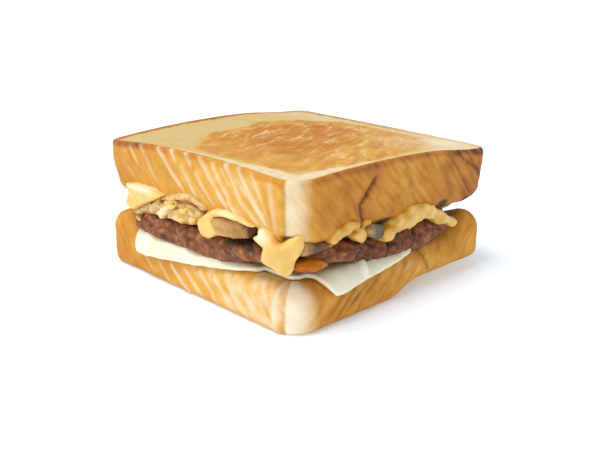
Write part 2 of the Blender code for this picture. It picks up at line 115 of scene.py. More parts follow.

# Sides of a slice, by number: 0 is +X, 1 is +Y, 2 is -X and 3 is -Y.
# A mark is a ridge or a groove in the crust: start along, start height, end along, end height, half width
# and strength. Strength is above 0 for a raised ridge with painted highlight and below 0 for a groove with
# painted shade.
UPPER_MARKS = {
    3: [
        (-38.5, 54.4, -33, 47.3, 1, 0.6), (-40.8, 46, -37.2, 42.2, 1, 0.5),
        (-30.8, 55.6, -21.3, 44.1, 1.1, 0.8), (-19.6, 56.8, -3.6, 42.7, 1.2, 1),
        (-10.6, 58.1, -6.8, 52.7, 1.1, 1), (-4.6, 51.9, 5.1, 41.7, 1.2, 1), (-1.4, 57.8, 2, 53, 1.2, 1),
        (4.7, 51.2, 14, 41.2, 1.2, 0.9), (6.8, 57.3, 23.2, 40.6, 1.3, 1.1), (15.3, 56.8, 16.3, 53.3, 1.2, 1),
        (17.4, 52.8, 25.5, 41.8, 1.1, 0.9), (22.1, 57.6, 30.5, 45.4, 1.3, 1.1),
        (23.3, 43.9, 28.2, 39.1, 1.1, 1.1), (30.5, 45.4, 38.8, 38.5, 1.2, 0.9),
        (28.8, 57.4, 35.9, 47.6, 1.2, 1.1), (35.9, 47.6, 44, 38.7, 1.2, 1), (36.4, 56.3, 41.6, 47, 1.1, 0.8),
        (41.6, 47, 44.5, 41, 1.1, 0.5), (45.1, 54.4, 48.1, 38.9, 1.6, 0.8), (51.6, 53, 52, 36, 1.2, -0.35),
    ],
    0: [
        (28.2, 53.2, 46.9, 33.3, 1.0, -1.0), (34.2, 52.9, 46.4, 45.4, 0.9, -0.9),
        (19.5, 53.5, 31, 37.5, 1.3, -0.35), (3.0, 46.8, 10.4, 36.0, 1.3, -0.35),
        (10.5, 53.0, 19.5, 40.5, 1.4, -0.25), (-0.8, 56.2, 1.8, 52.2, 1.1, -0.5),
        (39.5, 50.5, 49.5, 42.0, 1.0, -0.45), (-34, 52, -30, 38, 1.6, -0.2),
    ],
}
LOWER_MARKS = {
    3: [
        (-32, 9.6, -25.5, 4.4, 1, 0.5), (-30.1, 8.1, -23.2, 3.8, 1, 0.4), (-21.4, 8.7, -13.6, 1.7, 1.1, 0.6),
        (-13, 9.7, -1.6, 1.4, 1.2, 1), (-4.9, 11, 6.3, 1.8, 1.1, 0.9), (4.8, 12.5, 15.2, 2.2, 1.3, 1),
        (13.4, 12, 26.5, 1.6, 1.3, 1), (18.9, 15.6, 33, 2.1, 1.9, 0.8), (27.6, 14.7, 41.3, 1.6, 1.9, 0.8),
        (33.5, 17.6, 37, 13, 1.2, 0.7), (47.2, 20.5, 47.8, 1.6, 2, 1.3),
    ],
    0: [
        (-31.5, 11.4, -39.6, 4.9, 0.9, -0.8), (-25.6, 12.0, -35.4, 3.4, 1.0, -0.9),
        (-18.6, 11.4, -28.6, 5.6, 1.0, -0.8), (-11.2, 13.2, -21.0, 7.0, 1.0, -0.7),
        (-3.4, 12.8, -12.6, 6.0, 1.1, -0.45), (5.5, 14.6, -2.5, 8.2, 1.2, -0.4),
        (13.4, 17.4, 18.2, 7.4, 1.1, -1.0), (24.4, 22.0, 17.6, 15.4, 1.6, 0.45),
        (33.5, 22.5, 25, 13, 1.3, -0.4), (10.5, 19, 8.0, 11.5, 1.9, 0.4), (2.5, 16.2, -3, 9.5, 1.8, 0.35),
        (9.0, 14.2, 1.0, 10.4, 1.2, 0.5), (42, 21, 35, 11, 1.3, -0.3),
    ],
}
CRACK = [
    (-16.4, 51.6), (-17.8, 50.2), (-20.5, 47.3), (-24.7, 43.0), (-24.0, 39.4), (-22.6, 36.0), (-21.6, 34.2),
]

# Outlines of the golden patch on top of the sandwich, and of its browner middle
PATCH = [
    (-4.7, -51.5), (-19.1, -38), (-27.4, -25.3), (-29.1, -10.1), (-32.7, 7.7), (-26.1, 26.7), (-17.3, 44.6),
    (7.3, 47), (30, 46), (42, 38), (49, 22), (54, 4), (55, -25.2), (53.5, -40.5), (45.4, -50), (32.3, -51.2),
    (18.7, -52.5), (4.6, -52.5), (-4.7, -51.5),
]
BROWNER = [
    (-9, -26.9), (-24.7, -5.3), (-19.9, 14.4), (-7.8, 27.8), (9.4, 25.4), (25.2, 10.7), (30.2, -12.3),
    (26.2, -29.7), (12.1, -32.1), (-9, -26.9),
]

# How browned the crust is round each slice, with the right side (+X) darker partly as painted shade:
# (millimetres round from the middle of +X, tone from 0 palest to 1 darkest)
UPPER_TONES = [
    (-168, 0.62), (-155, 0.52), (-130, 0.43), (-95, 0.34), (-70, 0.31), (-60, 0.36), (-54, 0.32), (-49, 0.46),
    (-43, 0.6), (-25, 0.63), (0, 0.6), (20, 0.6), (34, 0.72), (50, 0.78), (70, 0.62), (110, 0.5), (150, 0.5),
    (200, 0.52),
]
LOWER_TONES = [
    (-168, 0.58), (-140, 0.54), (-112, 0.36), (-80, 0.28), (-60, 0.24), (-50, 0.3), (-44, 0.54), (-20, 0.52),
    (20, 0.48), (50, 0.52), (70, 0.52), (110, 0.5), (150, 0.5), (200, 0.54),
]

# How far the lower edge of the upper slice sags: (millimetres round from the middle of +X, sag)
SAG = [
    (-156.5, 2.1), (-129.5, 0.4), (-103.5, -0.6), (-88.8, -0.6), (-77.8, 0.2), (-70, 1.0), (-64.8, 1.3),
    (-57, 0.4), (-50, 0.9), (-45, 2.0), (-32, 2.7), (-13, 2.0), (4, 2.5), (13, 1.5), (23, 2.9), (34, 3.4),
    (43, 4.2), (51, 3.2), (62, 2.0), (110, 1.4), (165, 1.4), (200, 1.8),
]
# Where that edge is darkened with painted shade over the gaps below it: (millimetres round, half width, height
# that it reaches up to)
UNDER_EDGE_SHADE = [(-57.6, 4.4, 37.6), (-73.6, 2.2, 38.0), (-11, 7.5, 35.8), (26, 5.5, 35.8), (44, 4.0, 33.6)]

# Height of the cheese's lower edge where it hangs down a side, as seen against the side: (along, height)
CHEESE_FRONT = [
    (-34, 9.4), (-22, 10.4), (-6, 12.5), (8, 14.4), (18, 16.2), (29, 18.1), (38, 20.4), (46, 21.9), (54, 22.4),
]
CHEESE_RIGHT = [
    (-56, 23.2), (-52, 22.4), (-47, 20.6), (-42, 16.2), (-37.3, 12.0), (-34, 11.6), (-31, 12.0), (-20, 13.7),
    (-7.5, 15.0), (0, 15.9), (6, 17.0), (12, 18.6), (20, 21.5),
]
SEEN_ASIDE, SEEN_UP = 1.0, 0.45  # shift of a spot against the side for each millimetre that it lies behind it

# Lobes, drips and bits of sauce:
# degrees that the face turns from +X, its reach, its thickness, its outline (along, height)
SAUCE_LOBES = [
    (-90, 60.5, 6, [
        (-40.3, 39), (-32.8, 39.5), (-23.5, 39.9), (-19.5, 38.9), (-15.5, 38.1), (-24.8, 33.7), (-36.2, 28.3),
        (-39.9, 28.8), (-41.1, 31.1), (-38.4, 35.1)
    ]),
    (-90, 59.8, 6, [
        (13.9, 38.2), (16.8, 37.7), (15.5, 34.8), (17.1, 32.1), (18.3, 30.8), (15.8, 28.7), (12.2, 27.4),
        (9.2, 27.9), (7.4, 29.4), (6.4, 32.3), (7.7, 34.6)
    ]),
    (-90, 59.6, 5, [
        (12.4, 37.5), (17.2, 40.1), (22.4, 40.4), (27.9, 39.8), (33.4, 38.8), (38.6, 37.5), (35.4, 37),
        (30.1, 37.8), (22.8, 37.8), (15.3, 36.6)
    ]),
    (-90, 60.4, 6, [
        (41.6, 38.4), (44.7, 38.4), (46.7, 36.8), (47.2, 34.8), (44.6, 31.9), (42.1, 32.4), (39.5, 33.5),
        (38.4, 34.4), (41.6, 35.9)
    ]),
    (-45, 78.6, 9, [
        (-10.6, 33.5), (-9.2, 35.6), (-7.9, 36), (-6.5, 34.6), (-4.9, 33.9), (-3.5, 34.6), (-1.8, 36.4),
        (0.8, 37.8), (3.2, 37.5), (3.2, 33.6), (1.9, 30.4), (0.2, 28.6), (-0.1, 26.1), (-1.1, 23.9),
        (-3.2, 23.3), (-5.5, 24.2), (-7.6, 26), (-10.3, 27.4), (-11.6, 29.2), (-10.9, 31)
    ]),
    (-90, 59.2, 4, [
        (-22.1, 30.6), (-19.2, 31.3), (-17.7, 33.2), (-15, 33.8), (-13.5, 35.2), (-10.9, 35.1), (-8.2, 35.7),
        (-9.6, 33.8), (-13, 32.6), (-13.8, 30.8), (-15.9, 29.9), (-18.2, 27.6), (-19.5, 28.7)
    ]),
    (-90, 58.8, 4, [
        (-6.9, 33.9), (-5.5, 35.4), (-3.6, 35.4), (-1.6, 36.6), (0.3, 35.8), (-2.4, 34.5), (-1.8, 33.4),
        (-5, 32.7)
    ]),
    (-90, 59.2, 4, [
        (-11.2, 30.6), (-8.4, 32), (-6.5, 31.2), (-3.9, 31.6), (-1.4, 30.8), (-4, 30.2), (-4.1, 28.7),
        (-7.3, 29.4), (-9.3, 29.4)
    ]),
    (-90, 59.0, 4, [
        (-0.3, 31.8), (1, 33.7), (2.2, 32.8), (4.1, 33.2), (3.4, 31.4), (1.4, 29.8)
    ]),
    (-90, 59.0, 3, [
        (-16.5, 35.5), (-12.3, 37.2), (-9, 37.7), (-6.4, 37.2), (-10.4, 36.4), (-14.5, 34.9)
    ]),
    (-90, 58.8, 3, [
        (-37.6, 25.4), (-35.4, 25.1), (-32.6, 24), (-35.6, 22.8)
    ]),
    (0, 59.2, 6, [
        (-38.1, 34.7), (-36.1, 36.5), (-33.6, 36.6), (-32.1, 37.8), (-28.9, 38.2), (-26.8, 37.7), (-25.1, 36.3),
        (-26.1, 35), (-29.3, 35), (-30.8, 33.4), (-34, 33.4), (-35.5, 32.3), (-38.5, 31.5), (-40.1, 32.3)
    ]),
    (0, 59.6, 6, [
        (-28.6, 32.7), (-27.6, 33.5), (-26.6, 34.4), (-23.9, 34.6), (-22.2, 33.5), (-22.1, 31.5), (-22.5, 30.1),
        (-24.7, 28.7), (-26.9, 30.4)
    ]),
    (0, 59.0, 5, [
        (-23.2, 35.8), (-21.7, 37), (-19.5, 37.3), (-18.3, 35.9), (-20.4, 34.8), (-22.1, 34.4)
    ]),
    (0, 60.3, 6, [
        (-12, 30.3), (-9.8, 32.2), (-6.2, 31.4), (-4.9, 29.5), (-6.6, 28.3), (-8.2, 26.7), (-10.5, 26.1),
        (-12.9, 27.4)
    ]),
    (0, 58.8, 7, [
        (-9.3, 32), (-5.9, 33.6), (-1.8, 35.1), (3, 36.5), (7.2, 37.2), (11.7, 36.3), (15.6, 36), (19.7, 33.9),
        (26.9, 30), (31.3, 26.9), (35.7, 25.6), (36.7, 23.2), (33.2, 22.7), (28.8, 24.9), (22.5, 25.8),
        (18.3, 28.4), (13.6, 30.3), (9.8, 29), (6.1, 28.6), (4.3, 27.4), (0.5, 29), (-3.1, 28.2), (-6.7, 28.6)
    ]),
    (90, 59.0, 6, [
        (-30, 33), (-24, 35.5), (-15, 36), (-8, 34.5), (-4, 32), (-8, 29.5), (-13, 30), (-16, 27.2), (-19, 30),
        (-26, 30.4)
    ]),
    (90, 58.6, 6, [
        (12, 33.5), (18, 36), (27, 35.5), (36, 33.5), (30, 31), (26, 28), (22, 30.5), (15, 30)
    ]),
    (180, 59.0, 6, [
        (2, 33), (9, 35.5), (18, 35.5), (26, 33), (22, 30), (17, 30.5), (13, 26.8), (9, 30)
    ]),
    (180, 58.6, 6, [
        (-38, 33), (-31, 36), (-22, 35), (-18, 32), (-25, 30), (-29, 27.8), (-33, 30.2)
    ]),
]
# Pieces of onion, given in the same way
ONION_LOBES = [
    (-90, 59.0, 4, [
        (-18.4, 36.3), (-11.5, 39.6), (-3.5, 41.6), (4, 41.8), (7.6, 40.2), (11.1, 38.6), (8.6, 37.3),
        (3.8, 39.2), (-3.7, 38.8), (-13, 36.2)
    ]),
    (-90, 58.4, 4, [
        (-39.6, 26.2), (-28.1, 32.1), (-20, 35.9), (-16, 35.1), (-19.6, 33.1), (-27.6, 29.7), (-35.2, 25.9)
    ]),
    (-90, 57.0, 5, [
        (-35.1, 26.1), (-20.2, 33.5), (-3.3, 37.5), (8.4, 37.3), (3.9, 31.5), (-0.7, 28.9), (-10.4, 28.2),
        (-20.5, 28.9)
    ]),
    (-90, 58.2, 3, [
        (-7.6, 36.4), (-1, 38.2), (4.6, 38.2), (10, 37.5), (7.5, 35.7), (1.3, 36), (-6.3, 35.1)
    ]),
    (-90, 58.0, 3, [
        (-5.4, 33.2), (1, 35.5), (6.6, 35.5), (4.6, 32.3), (-0.3, 33.2), (-4.9, 31.7)
    ]),
    (-90, 58.2, 3, [
        (-16.6, 30.8), (-11.7, 33.1), (-7.1, 33.7), (-10.6, 30.9), (-14.7, 29.6)
    ]),
    (-90, 59.2, 6, [
        (13, 35.6), (21.8, 37.6), (29.1, 38.1), (35.5, 37.4), (39.2, 36.8), (37.1, 34.3), (33.3, 32.3),
        (27.2, 30.8), (21.5, 30.3), (16.9, 30), (14, 32.4)
    ]),
    (0, 58.4, 5, [
        (-20.2, 33.5), (-17.5, 34.8), (-11.7, 32.8), (-10.4, 30.6), (-12, 27.8), (-16.6, 28.4), (-19.5, 30.3)
    ]),
    (0, 56.2, 4, [
        (-50.8, 34.4), (-47.4, 34.3), (-43.9, 32.8), (-40.4, 32.3), (-36.9, 31.5), (-35.8, 29.7), (-38.8, 29.4),
        (-42.9, 29.2), (-48.8, 29.2), (-51.7, 29.6)
    ]),
]
# The line of painted shade under the top piece of onion: (along, height)
UNDER_ARCH = [(-18, 35.2), (-13, 35.8), (-3.7, 38.2), (3.8, 38.6), (8.6, 36.8)]
# Strips of onion: route of the middle, width, thickness, degrees tipped
STRIPS = [
    ([(-47, -50, 30.0), (-40, -54, 30.2), (-32, -56.5, 29.8), (-22, -57.6, 29.6), (-12, -57, 29.8)],
     3.6, 1.2, 20),
    ([(-30, -55, 32.4), (-22, -56.8, 33.0), (-12, -57.6, 33.2), (-3, -57, 32.4), (4, -53, 31.6)],
     3.6, 1.2, -15),
    ([(-20, -54, 30.8), (-11, -57.2, 30.8), (-2, -57.4, 30.4), (5, -52, 30.2)],
     3.4, 1.2, 10),
    ([(-50, -34, 30.5), (-56.5, -16, 30.6), (-55, 0, 30.4), (-49, 8, 30.5)],
     3.6, 1.4, 10),
    ([(-49, 16, 30.5), (-55, 26, 30.5), (-46, 45, 30.5)],
     3.6, 1.4, -10),
    ([(-34, 49, 30.5), (-22, 56, 30.5), (-8, 56.5, 30.4), (2, 53, 30.5)],
     3.6, 1.4, 12),
    ([(10, 51, 30.5), (24, 56, 30.5), (42, 46, 30.5)],
     3.6, 1.4, -12),
]
# The browned strip: middle, radii, degrees turned
BROWNED = ((53.6, -46.6, 25.2), (3.6, 7.8, 2.5), (-8, 0, -6))


# ---- Settings -------------------------------------------------------------------------------


def hue(red, green, blue):
    """A colour from 0 to 255 as Blender's linear colour."""
    shares = (value / 255 for value in (red, green, blue))
    return tuple(share / 12.92 if share <= 0.04045 else ((share + 0.055) / 1.055) ** 2.4 for share in shares)


def colour(name, description, *shade):
    return FloatVectorProperty(
        name=name, description=description, default=hue(*shade), min=0, max=1, size=3, subtype="COLOR"
    )


def length(name, description, default):
    return FloatProperty(
        name=name, description=description, default=default, min=0,
        unit="LENGTH", subtype="DISTANCE", precision=4,
    )


def angle(name, description, degrees):
    return FloatProperty(
        name=name, description=description, default=math.radians(degrees), unit="ROTATION", subtype="ANGLE"
    )


def strength(name, description, default):
    return FloatProperty(name=name, description=description, default=default, min=0)


class BreadSettings(bpy.types.PropertyGroup):
    ridge_height: length("Ridge height", "How far a ridge of the crust stands out", 0.0006)
    dent_depth: length("Dent depth", "Depth of the soft dents in the crust", 0.0005)
    crown_relief: length("Crown relief", "Unevenness of the toasted top", 0.00022)
    cream: colour("Cream", "Palest crumb and crust", 247, 233, 204)
    gold: colour("Gold", "Lightly toasted crust", 226, 168, 68)
    amber: colour("Amber", "Well toasted crust", 204, 133, 36)
    brown: colour("Brown", "Browned crust", 168, 100, 32)
    crumb: colour("Crumb", "Palest crumb of the top", 212, 192, 138)
    buttered: colour("Buttered", "Golden crumb of the top", 224, 172, 74)
    griddled: colour("Griddled", "Browned patch of the top", 206, 134, 42)
    stroke: colour("Stroke", "Light strokes in the browned patch", 248, 216, 162)
    # Darkest crust, and the colour of the painted shade in grooves, creases, the crack and gaps
    scorch_and_shade: colour("Scorch", "Darkest creases", 92, 50, 18)


class FillingSettings(bpy.types.PropertyGroup):
    cheese_thickness: length("Cheese thickness", "Thickness of the melted slice", 0.0019)
    cheese: colour("Cheese", "Melted white cheese", 252, 246, 222)
    cheese_shade: colour("Cheese shade", "Thinner, yellower cheese", 238, 226, 184)
    beef: colour("Beef", "Seared patty", 142, 80, 42)
    # Low end of the beef tones: the hollows of the grain, and the painted shade under the onions, on the right
    # side and in the cracks
    beef_dark: colour("Dark beef", "Hollows of the patty", 50, 24, 14)
    beef_light: colour("Light beef", "Juicy crumbs of the patty", 204, 146, 100)
    onion: colour("Onion", "Grilled onion", 206, 156, 86)
    onion_dark: colour("Dark onion", "Browned edges of the onion", 118, 70, 28)
    onion_pale: colour("Pale onion", "Lightest veins of the onion", 242, 216, 150)
    onion_grey: colour("Grey onion", "Onion in the shade of the right side", 108, 96, 84)
    # Colour of the painted shade in the gaps and recesses of the filling
    hollow_shade: colour("Hollow", "Dark gaps in the filling", 72, 34, 8)
    amber_dark: colour("Dark amber", "Edges of the browned strip", 112, 56, 8)
    amber_light: colour("Light amber", "Glints of the browned strip", 222, 138, 14)
    amber_onion: colour("Amber onion", "The browned strip at the corner", 180, 92, 0)
    sauce: colour("Sauce", "Creamy sauce", 244, 200, 112)
    # Also the colour of the painted highlight along the upper edges of the sauce
    sauce_pale: colour("Pale sauce", "Palest, thickest sauce", 252, 240, 206)
    sauce_gold: colour("Gold sauce", "Yellower sauce", 208, 152, 40)


class StageSettings(bpy.types.PropertyGroup):
    floor_size: length("Floor size", "Width of the floor", 40.0)
    floor: colour("Floor", "Colour of the floor", 243, 249, 255)
    glow: strength("Floor glow", "Light that the pale floor gives of its own", 0.2)
    key: strength("Key light", "Strength of the soft key light", 1.4)
    fill: strength("Fill light", "Strength of the broad light from the left", 0.75)
    front: strength("Front light", "Strength of the broad light from the front corner", 0.33)
    sky: strength("Sky light", "Strength of the light from all round", 0.6)
    azimuth: angle("Azimuth", "How far round the camera stands", 45.48)
    elevation: angle("Elevation", "How high the camera stands", 17.63)
    roll: angle("Roll", "How far the camera is turned about its view", 0.45)
    distance: length("Distance", "From the camera to its aim", 0.3454)
    aim_height: length("Aim height", "Height that the camera looks at", 0.01707)
    aim_side: length("Aim side", "How far the aim is to the right", 0.00113)
    lens: FloatProperty(name="Lens", description="Focal length", default=47.53, min=1, unit="CAMERA")


# ---- Form functions -------------------------------------------------------------------------


def ramp(low, high, value):
    """0 up to low, 1 from high on, and smooth in between."""
    share = min(max((value - low) / (high - low), 0.0), 1.0)
    return share * share * (3 - 2 * share)


def bump(middle, width, value):
    """1 at the middle, falling to 0 at this distance from it."""
    return 1 - ramp(0, width, abs(value - middle))


def lumps(point, size, seed):
    """Smooth noise from about -1 to 1, with lumps of about this size."""
    return noise.noise(point / size + Vector((seed, seed, seed)))


def outline(turn, half, corners):
    """Point and outward direction on a square with these corner radii, at this share of the way round."""
    eighth, share = divmod(turn * 8 % 8, 1.0)
    eighth = int(eighth)
    side, after = (eighth + 1) // 2 % 4, eighth % 2 == 0
    corner = corners[side if after else side - 1]
    straight = half - corner
    run = (straight + math.pi / 4 * corner) * (share if after else 1 - share)
    bend = max(run - straight, 0.0) / corner
    out = Vector((math.cos(bend), math.sin(bend), 0))
    point = Vector((half, run, 0)) if run < straight else Vector((straight, straight, 0)) + out * corner
    if not after:
        out.y, point.y = -out.y, -point.y
    spin = Matrix.Rotation(side * math.pi / 2, 3, "Z")
    return spin @ point, spin @ out


def slice_point(turn, inset, corners=CORNERS):
    """A point on a slice's outline, moved in by this much. Far in, the outline shrinks towards the middle."""
    moved = min(inset, EDGE_ROUND)
    point, out = outline(turn, HALF, [max(corner, moved + SHARPEST) for corner in corners])
    return (point - out * moved) * min((HALF - inset) / (HALF - moved), 1.0)


def turn_of(across, along):
    """The share of the way round a slice, for a point on a square."""
    reach = max(abs(across), abs(along), 1e-9)
    if abs(across) >= abs(along):
        side, share = (0, along) if across > 0 else (2, -along)
    else:
        side, share = (1, -across) if along > 0 else (3, across)
    return (side + share / reach / 2) / 4 % 1.0


def side_and_along(turn):
    """The number of the side, and the distance from its middle, measured round the corners too."""
    side, share = divmod(turn * 4 + 0.5, 1.0)
    return int(side) % 4, (share - 0.5) * QUARTER


def way_round(turn):
    """Millimetres round a slice from the middle of +X, and less than 0 the other way round."""
    return ((turn + 0.5) % 1.0 - 0.5) * 4 * QUARTER


def from_table(table, way):
    """A value from a table of (millimetres round, value)."""
    return float(np.interp(way, *zip(*table), period=4 * QUARTER))


def beyond_patty(x, y):
    """How far a point lies outside the patty's outline, or 0 inside it."""
    straight = PRESSED_HALF - PRESSED_CORNER
    away_x = max(abs(x - PRESSED_MIDDLE.x) - straight, 0.0)
    away_y = max(abs(y - PRESSED_MIDDLE.y) - straight, 0.0)
    return max(math.hypot(away_x, away_y) - PRESSED_CORNER, 0.0)


def lower_slice_top(x, y):
    """Height of the lower slice: flat under the patty, and rising round it."""
    away = beyond_patty(x, y)
    rise = PRESS_SLOPE * away * away / (away + PRESS_START)
    return LOWER_SLICE + PRESS_RISE * math.tanh(rise / PRESS_RISE)


def base_lift(turn, inset):
    """Height of the underside of the lower slice, which curls up at its far right corner."""
    way = way_round(turn)
    by_corner = ramp(-6, 14, way) * (1 - ramp(QUARTER / 2 + 6, QUARTER / 2 + 60, way))
    return BASE_LIFT * by_corner * (1 - ramp(0, LIFT_WIDTH, inset))


def upper_slice_top(x, y):
    across, along = x / HALF, y / HALF
    bow = UPPER_BOW * (1 - (across * along) ** 2) * (1 - 0.9 * ramp(0.3, 1.0, along))
    return UPPER_CORNERS - UPPER_TIP * along - UPPER_TWIST * across * along + bow


def near_line(along, height, mark):
    """How much a mark covers a spot on the crust: 1 on its line, fading past its ends."""
    start, top, end, bottom, width, _ = mark
    run, drop = end - start, bottom - top
    span = math.hypot(run, drop)
    share = ((along - start) * run + (height - top) * drop) / (span * span)
    if share < -0.1 or share > 1.3:
        return 0.0
    off = ((along - start) * drop - (height - top) * run) / span
    width *= 1.0 - 0.3 * share
    if abs(off) > 2.6 * width:
        return 0.0
    return math.exp(-((off / width) ** 2)) * ramp(-0.1, 0.06, share) * (1 - ramp(0.8, 1.3, share))


def near_path(along, height, path):
    """Distance from a spot to a path of points."""
    best = 99.0
    for (a, b), (c, d) in zip(path, path[1:]):
        run, rise = c - a, d - b
        share = ((along - a) * run + (height - b) * rise) / (run * run + rise * rise)
        share = min(max(share, 0.0), 1.0)
        best = min(best, math.hypot(along - a - run * share, height - b - rise * share))
    return best


def hidden_marks(low, high, seed):
    """Ridges and grooves for a side that has none of its own."""
    draw = random.Random(seed)
    marks, along = [], -HALF + 2
    while along < HALF - 4:
        reach = draw.uniform(0.3, 0.95) * (high - low)
        top = high - draw.uniform(0, 0.25) * (high - low)
        lean = draw.uniform(0.5, 0.85)
        kind = draw.uniform(0.35, 0.8) * (-0.6 if draw.random() < 0.25 else 1)
        marks.append((along, top, along + lean * reach, max(top - reach, low), draw.uniform(1.0, 1.6), kind))
        along += draw.uniform(5.0, 11.0)
    return marks


# ---- Building blocks ------------------------------------------------------------------------


def add_piece(bm, name, nodes, material):
    """Puts a shape in millimetres in its place as a piece that stands for those nodes."""
    bm.transform(TO_PLACE)
    mesh = bpy.data.meshes.new(name)
    bm.to_mesh(mesh)
    bm.free()
    mesh.shade_smooth()
    mesh.materials.append(material)
    made = bpy.data.objects.new(name, mesh)
    bpy.context.scene.collection.objects.link(made)
    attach(made, "root")
    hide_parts(*nodes)
    return made


def tone_verts(bm, **tones):
    """Writes each named tone, a function of the spot, to an attribute of that name."""
    for name, tone in tones.items():
        layer = bm.verts.layers.float.new(name)
        for vert in bm.verts:
            vert[layer] = min(max(tone(vert.co), 0.0), 1.0)


def cut_cube(*cuts):
    """A cube from -1 to 1, with this many cuts along each of its axes."""
    bm = bmesh.new()
    bmesh.ops.create_cube(bm, size=2)
    for axis, number in enumerate(cuts):
        edges = [edge for edge in bm.edges if abs(edge.verts[0].co[axis] - edge.verts[1].co[axis]) > 0.01]
        bmesh.ops.subdivide_edges(bm, edges=edges, cuts=number, use_grid_fill=True)
    return bm


def ring_stack(columns, rings, place):
    """A closed cylinder with its vertices moved to place(turn, ring), and place(None, ring) in its middle."""
    bm = bmesh.new()
    top = rings - 1
    bmesh.ops.create_cone(bm, cap_ends=True, segments=columns, radius1=1, radius2=1, depth=top)
    upright = [edge for edge in bm.edges if abs(edge.verts[0].co.z - edge.verts[1].co.z) > 0.5]
    bmesh.ops.subdivide_edges(bm, edges=upright, cuts=rings - 2)
    ends = [face for face in bm.faces if len(face.verts) == columns]
    middles = set(bmesh.ops.poke(bm, faces=ends)["verts"])
    for vert in bm.verts:
        ring = round(vert.co.z + top / 2)
        turn = None if vert in middles else math.atan2(vert.co.y, vert.co.x) / math.tau % 1.0
        vert.co = place(turn, ring)
    return bm


def blob(middle, radii, turned):
    """A lump, turned by degrees about X, Y and Z."""
    bm = bmesh.new()
    bmesh.ops.create_icosphere(bm, subdivisions=5, radius=1)
    spin = Matrix.Identity(3)
    for degrees, axis in zip(turned, "XYZ"):
        spin = Matrix.Rotation(math.radians(degrees), 3, axis) @ spin
    for vert in bm.verts:
        swell = 1 + 0.15 * noise.noise(vert.co * 1.5 + Vector(middle))
        size = Vector([axis * radius for axis, radius in zip(vert.co, radii)])
        vert.co = Vector(middle) + spin @ size * swell
    return bm


def lobe(facing, reach, thickness, points):
    """A lump with this outline and a slightly crowned face."""
    spin = Matrix.Rotation(math.radians(facing), 3, "Z")
    bm = bmesh.new()
    back = bm.faces.new([bm.verts.new(spin @ Vector((reach - thickness, *point))) for point in points])
    made = bmesh.ops.extrude_face_region(bm, geom=[back])["geom"]
    front = [item for item in made if isinstance(item, bmesh.types.BMFace)]
    bmesh.ops.translate(bm, verts=front[0].verts[:], vec=spin @ Vector((thickness - LOBE_CROWN, 0, 0)))
    bmesh.ops.recalc_face_normals(bm, faces=bm.faces[:])
    bmesh.ops.inset_region(bm, faces=front, thickness=LOBE_CROWN, depth=LOBE_CROWN, use_even_offset=True)
    return bm


def along_route(route, share):
    """A point on the smooth curve through a route, and its direction."""
    spot = share * (len(route) - 1)
    index = min(int(spot), len(route) - 2)
    part = spot - index
    points = [Vector(route[min(max(index + step, 0), len(route) - 1)]) for step in (-1, 0, 1, 2)]
    a, b, c, d = points
    curve = (2 * a - 5 * b + 4 * c - d) * part**2 + (3 * b - a - 3 * c + d) * part**3
    return 0.5 * (2 * b + (c - a) * part + curve), (c - b).normalized()


def onion_strip(route, width, thickness, tipped, seed):
    """A curling strip: a fine cube drawn out along the route, thick in its middle and thin at its edges."""
    bm = cut_cube(47, 11, 3)
    for vert in bm.verts:
        lengthwise, across, deep = vert.co
        point, ahead = along_route(route, (lengthwise + 1) / 2)
        sway = math.radians(tipped + 25 * noise.noise(Vector((lengthwise * 1.5, seed, 0))))
        side = ahead.cross(UP).normalized()
        flat = UP * math.cos(sway) + side * math.sin(sway)
        out = side * math.cos(sway) - UP * math.sin(sway)
        end = math.sqrt(max(1 - abs(lengthwise) ** 6, 0.02))
        taper = end * (0.85 + 0.3 * noise.noise(Vector((lengthwise * 3, seed, 5))))
        bulge = math.sqrt(max(1 - across**2 * 0.85, 0.05)) * end
        vein = 0.12 * math.cos(across * 9 + seed)
        cup = 0.35 * width * 0.5 * across**2
        proud = deep * thickness / 2 * (bulge + vein) - cup
        vert.co = point + flat * across * width / 2 * taper + out * proud
    return bm


def melt_together(shapes, name, voxel, smoothing):
    """One skin round several overlapping shapes, as a new bmesh."""
    joined = bpy.data.meshes.new(name)
    whole = bmesh.new()
    for shape in shapes:
        shape.to_mesh(joined)
        shape.free()
        whole.from_mesh(joined)
    whole.to_mesh(joined)
    whole.free()
    source = bpy.data.objects.new(name, joined)
    bpy.context.scene.collection.objects.link(source)
    skin = source.modifiers.new("skin", "REMESH")
    skin.mode = "VOXEL"
    skin.voxel_size = voxel
    skin.adaptivity = 0
    soften = source.modifiers.new("soften", "SMOOTH")
    soften.factor = 0.5
    soften.iterations = smoothing
    bpy.context.view_layer.update()
    made = bmesh.new()
    made.from_object(source, bpy.context.evaluated_depsgraph_get())
    bpy.data.objects.remove(source)
    bpy.data.meshes.remove(joined)
    made.normal_update()
    return made


# ---- Shading --------------------------------------------------------------------------------


def add_node(tree, kind, inputs=None, **settings):
    """A new node. Each input is a plain value, or an output socket to join to it."""
    node = tree.nodes.new("ShaderNode" + kind)
    for name, value in settings.items():
        setattr(node, name, value)
    for key, value in (inputs or {}).items():
        if isinstance(value, bpy.types.NodeSocket):
            tree.links.new(value, node.inputs[key])
        else:
            node.inputs[key].default_value = value
    return node


def worked(tree, operation, first, second=0.0, clamp=False):
    """The output of a Math node."""
    return add_node(tree, "Math", {0: first, 1: second}, operation=operation, use_clamp=clamp).outputs[0]


def mixed(tree, share, low, high, blend="MIX"):
    """A mix of two colours, each a plain colour or a socket."""
    low, high = ((*value, 1) if isinstance(value, (tuple, list)) else value for value in (low, high))
    return add_node(tree, "Mix", {0: share, 6: low, 7: high}, data_type="RGBA", blend_type=blend).outputs[2]


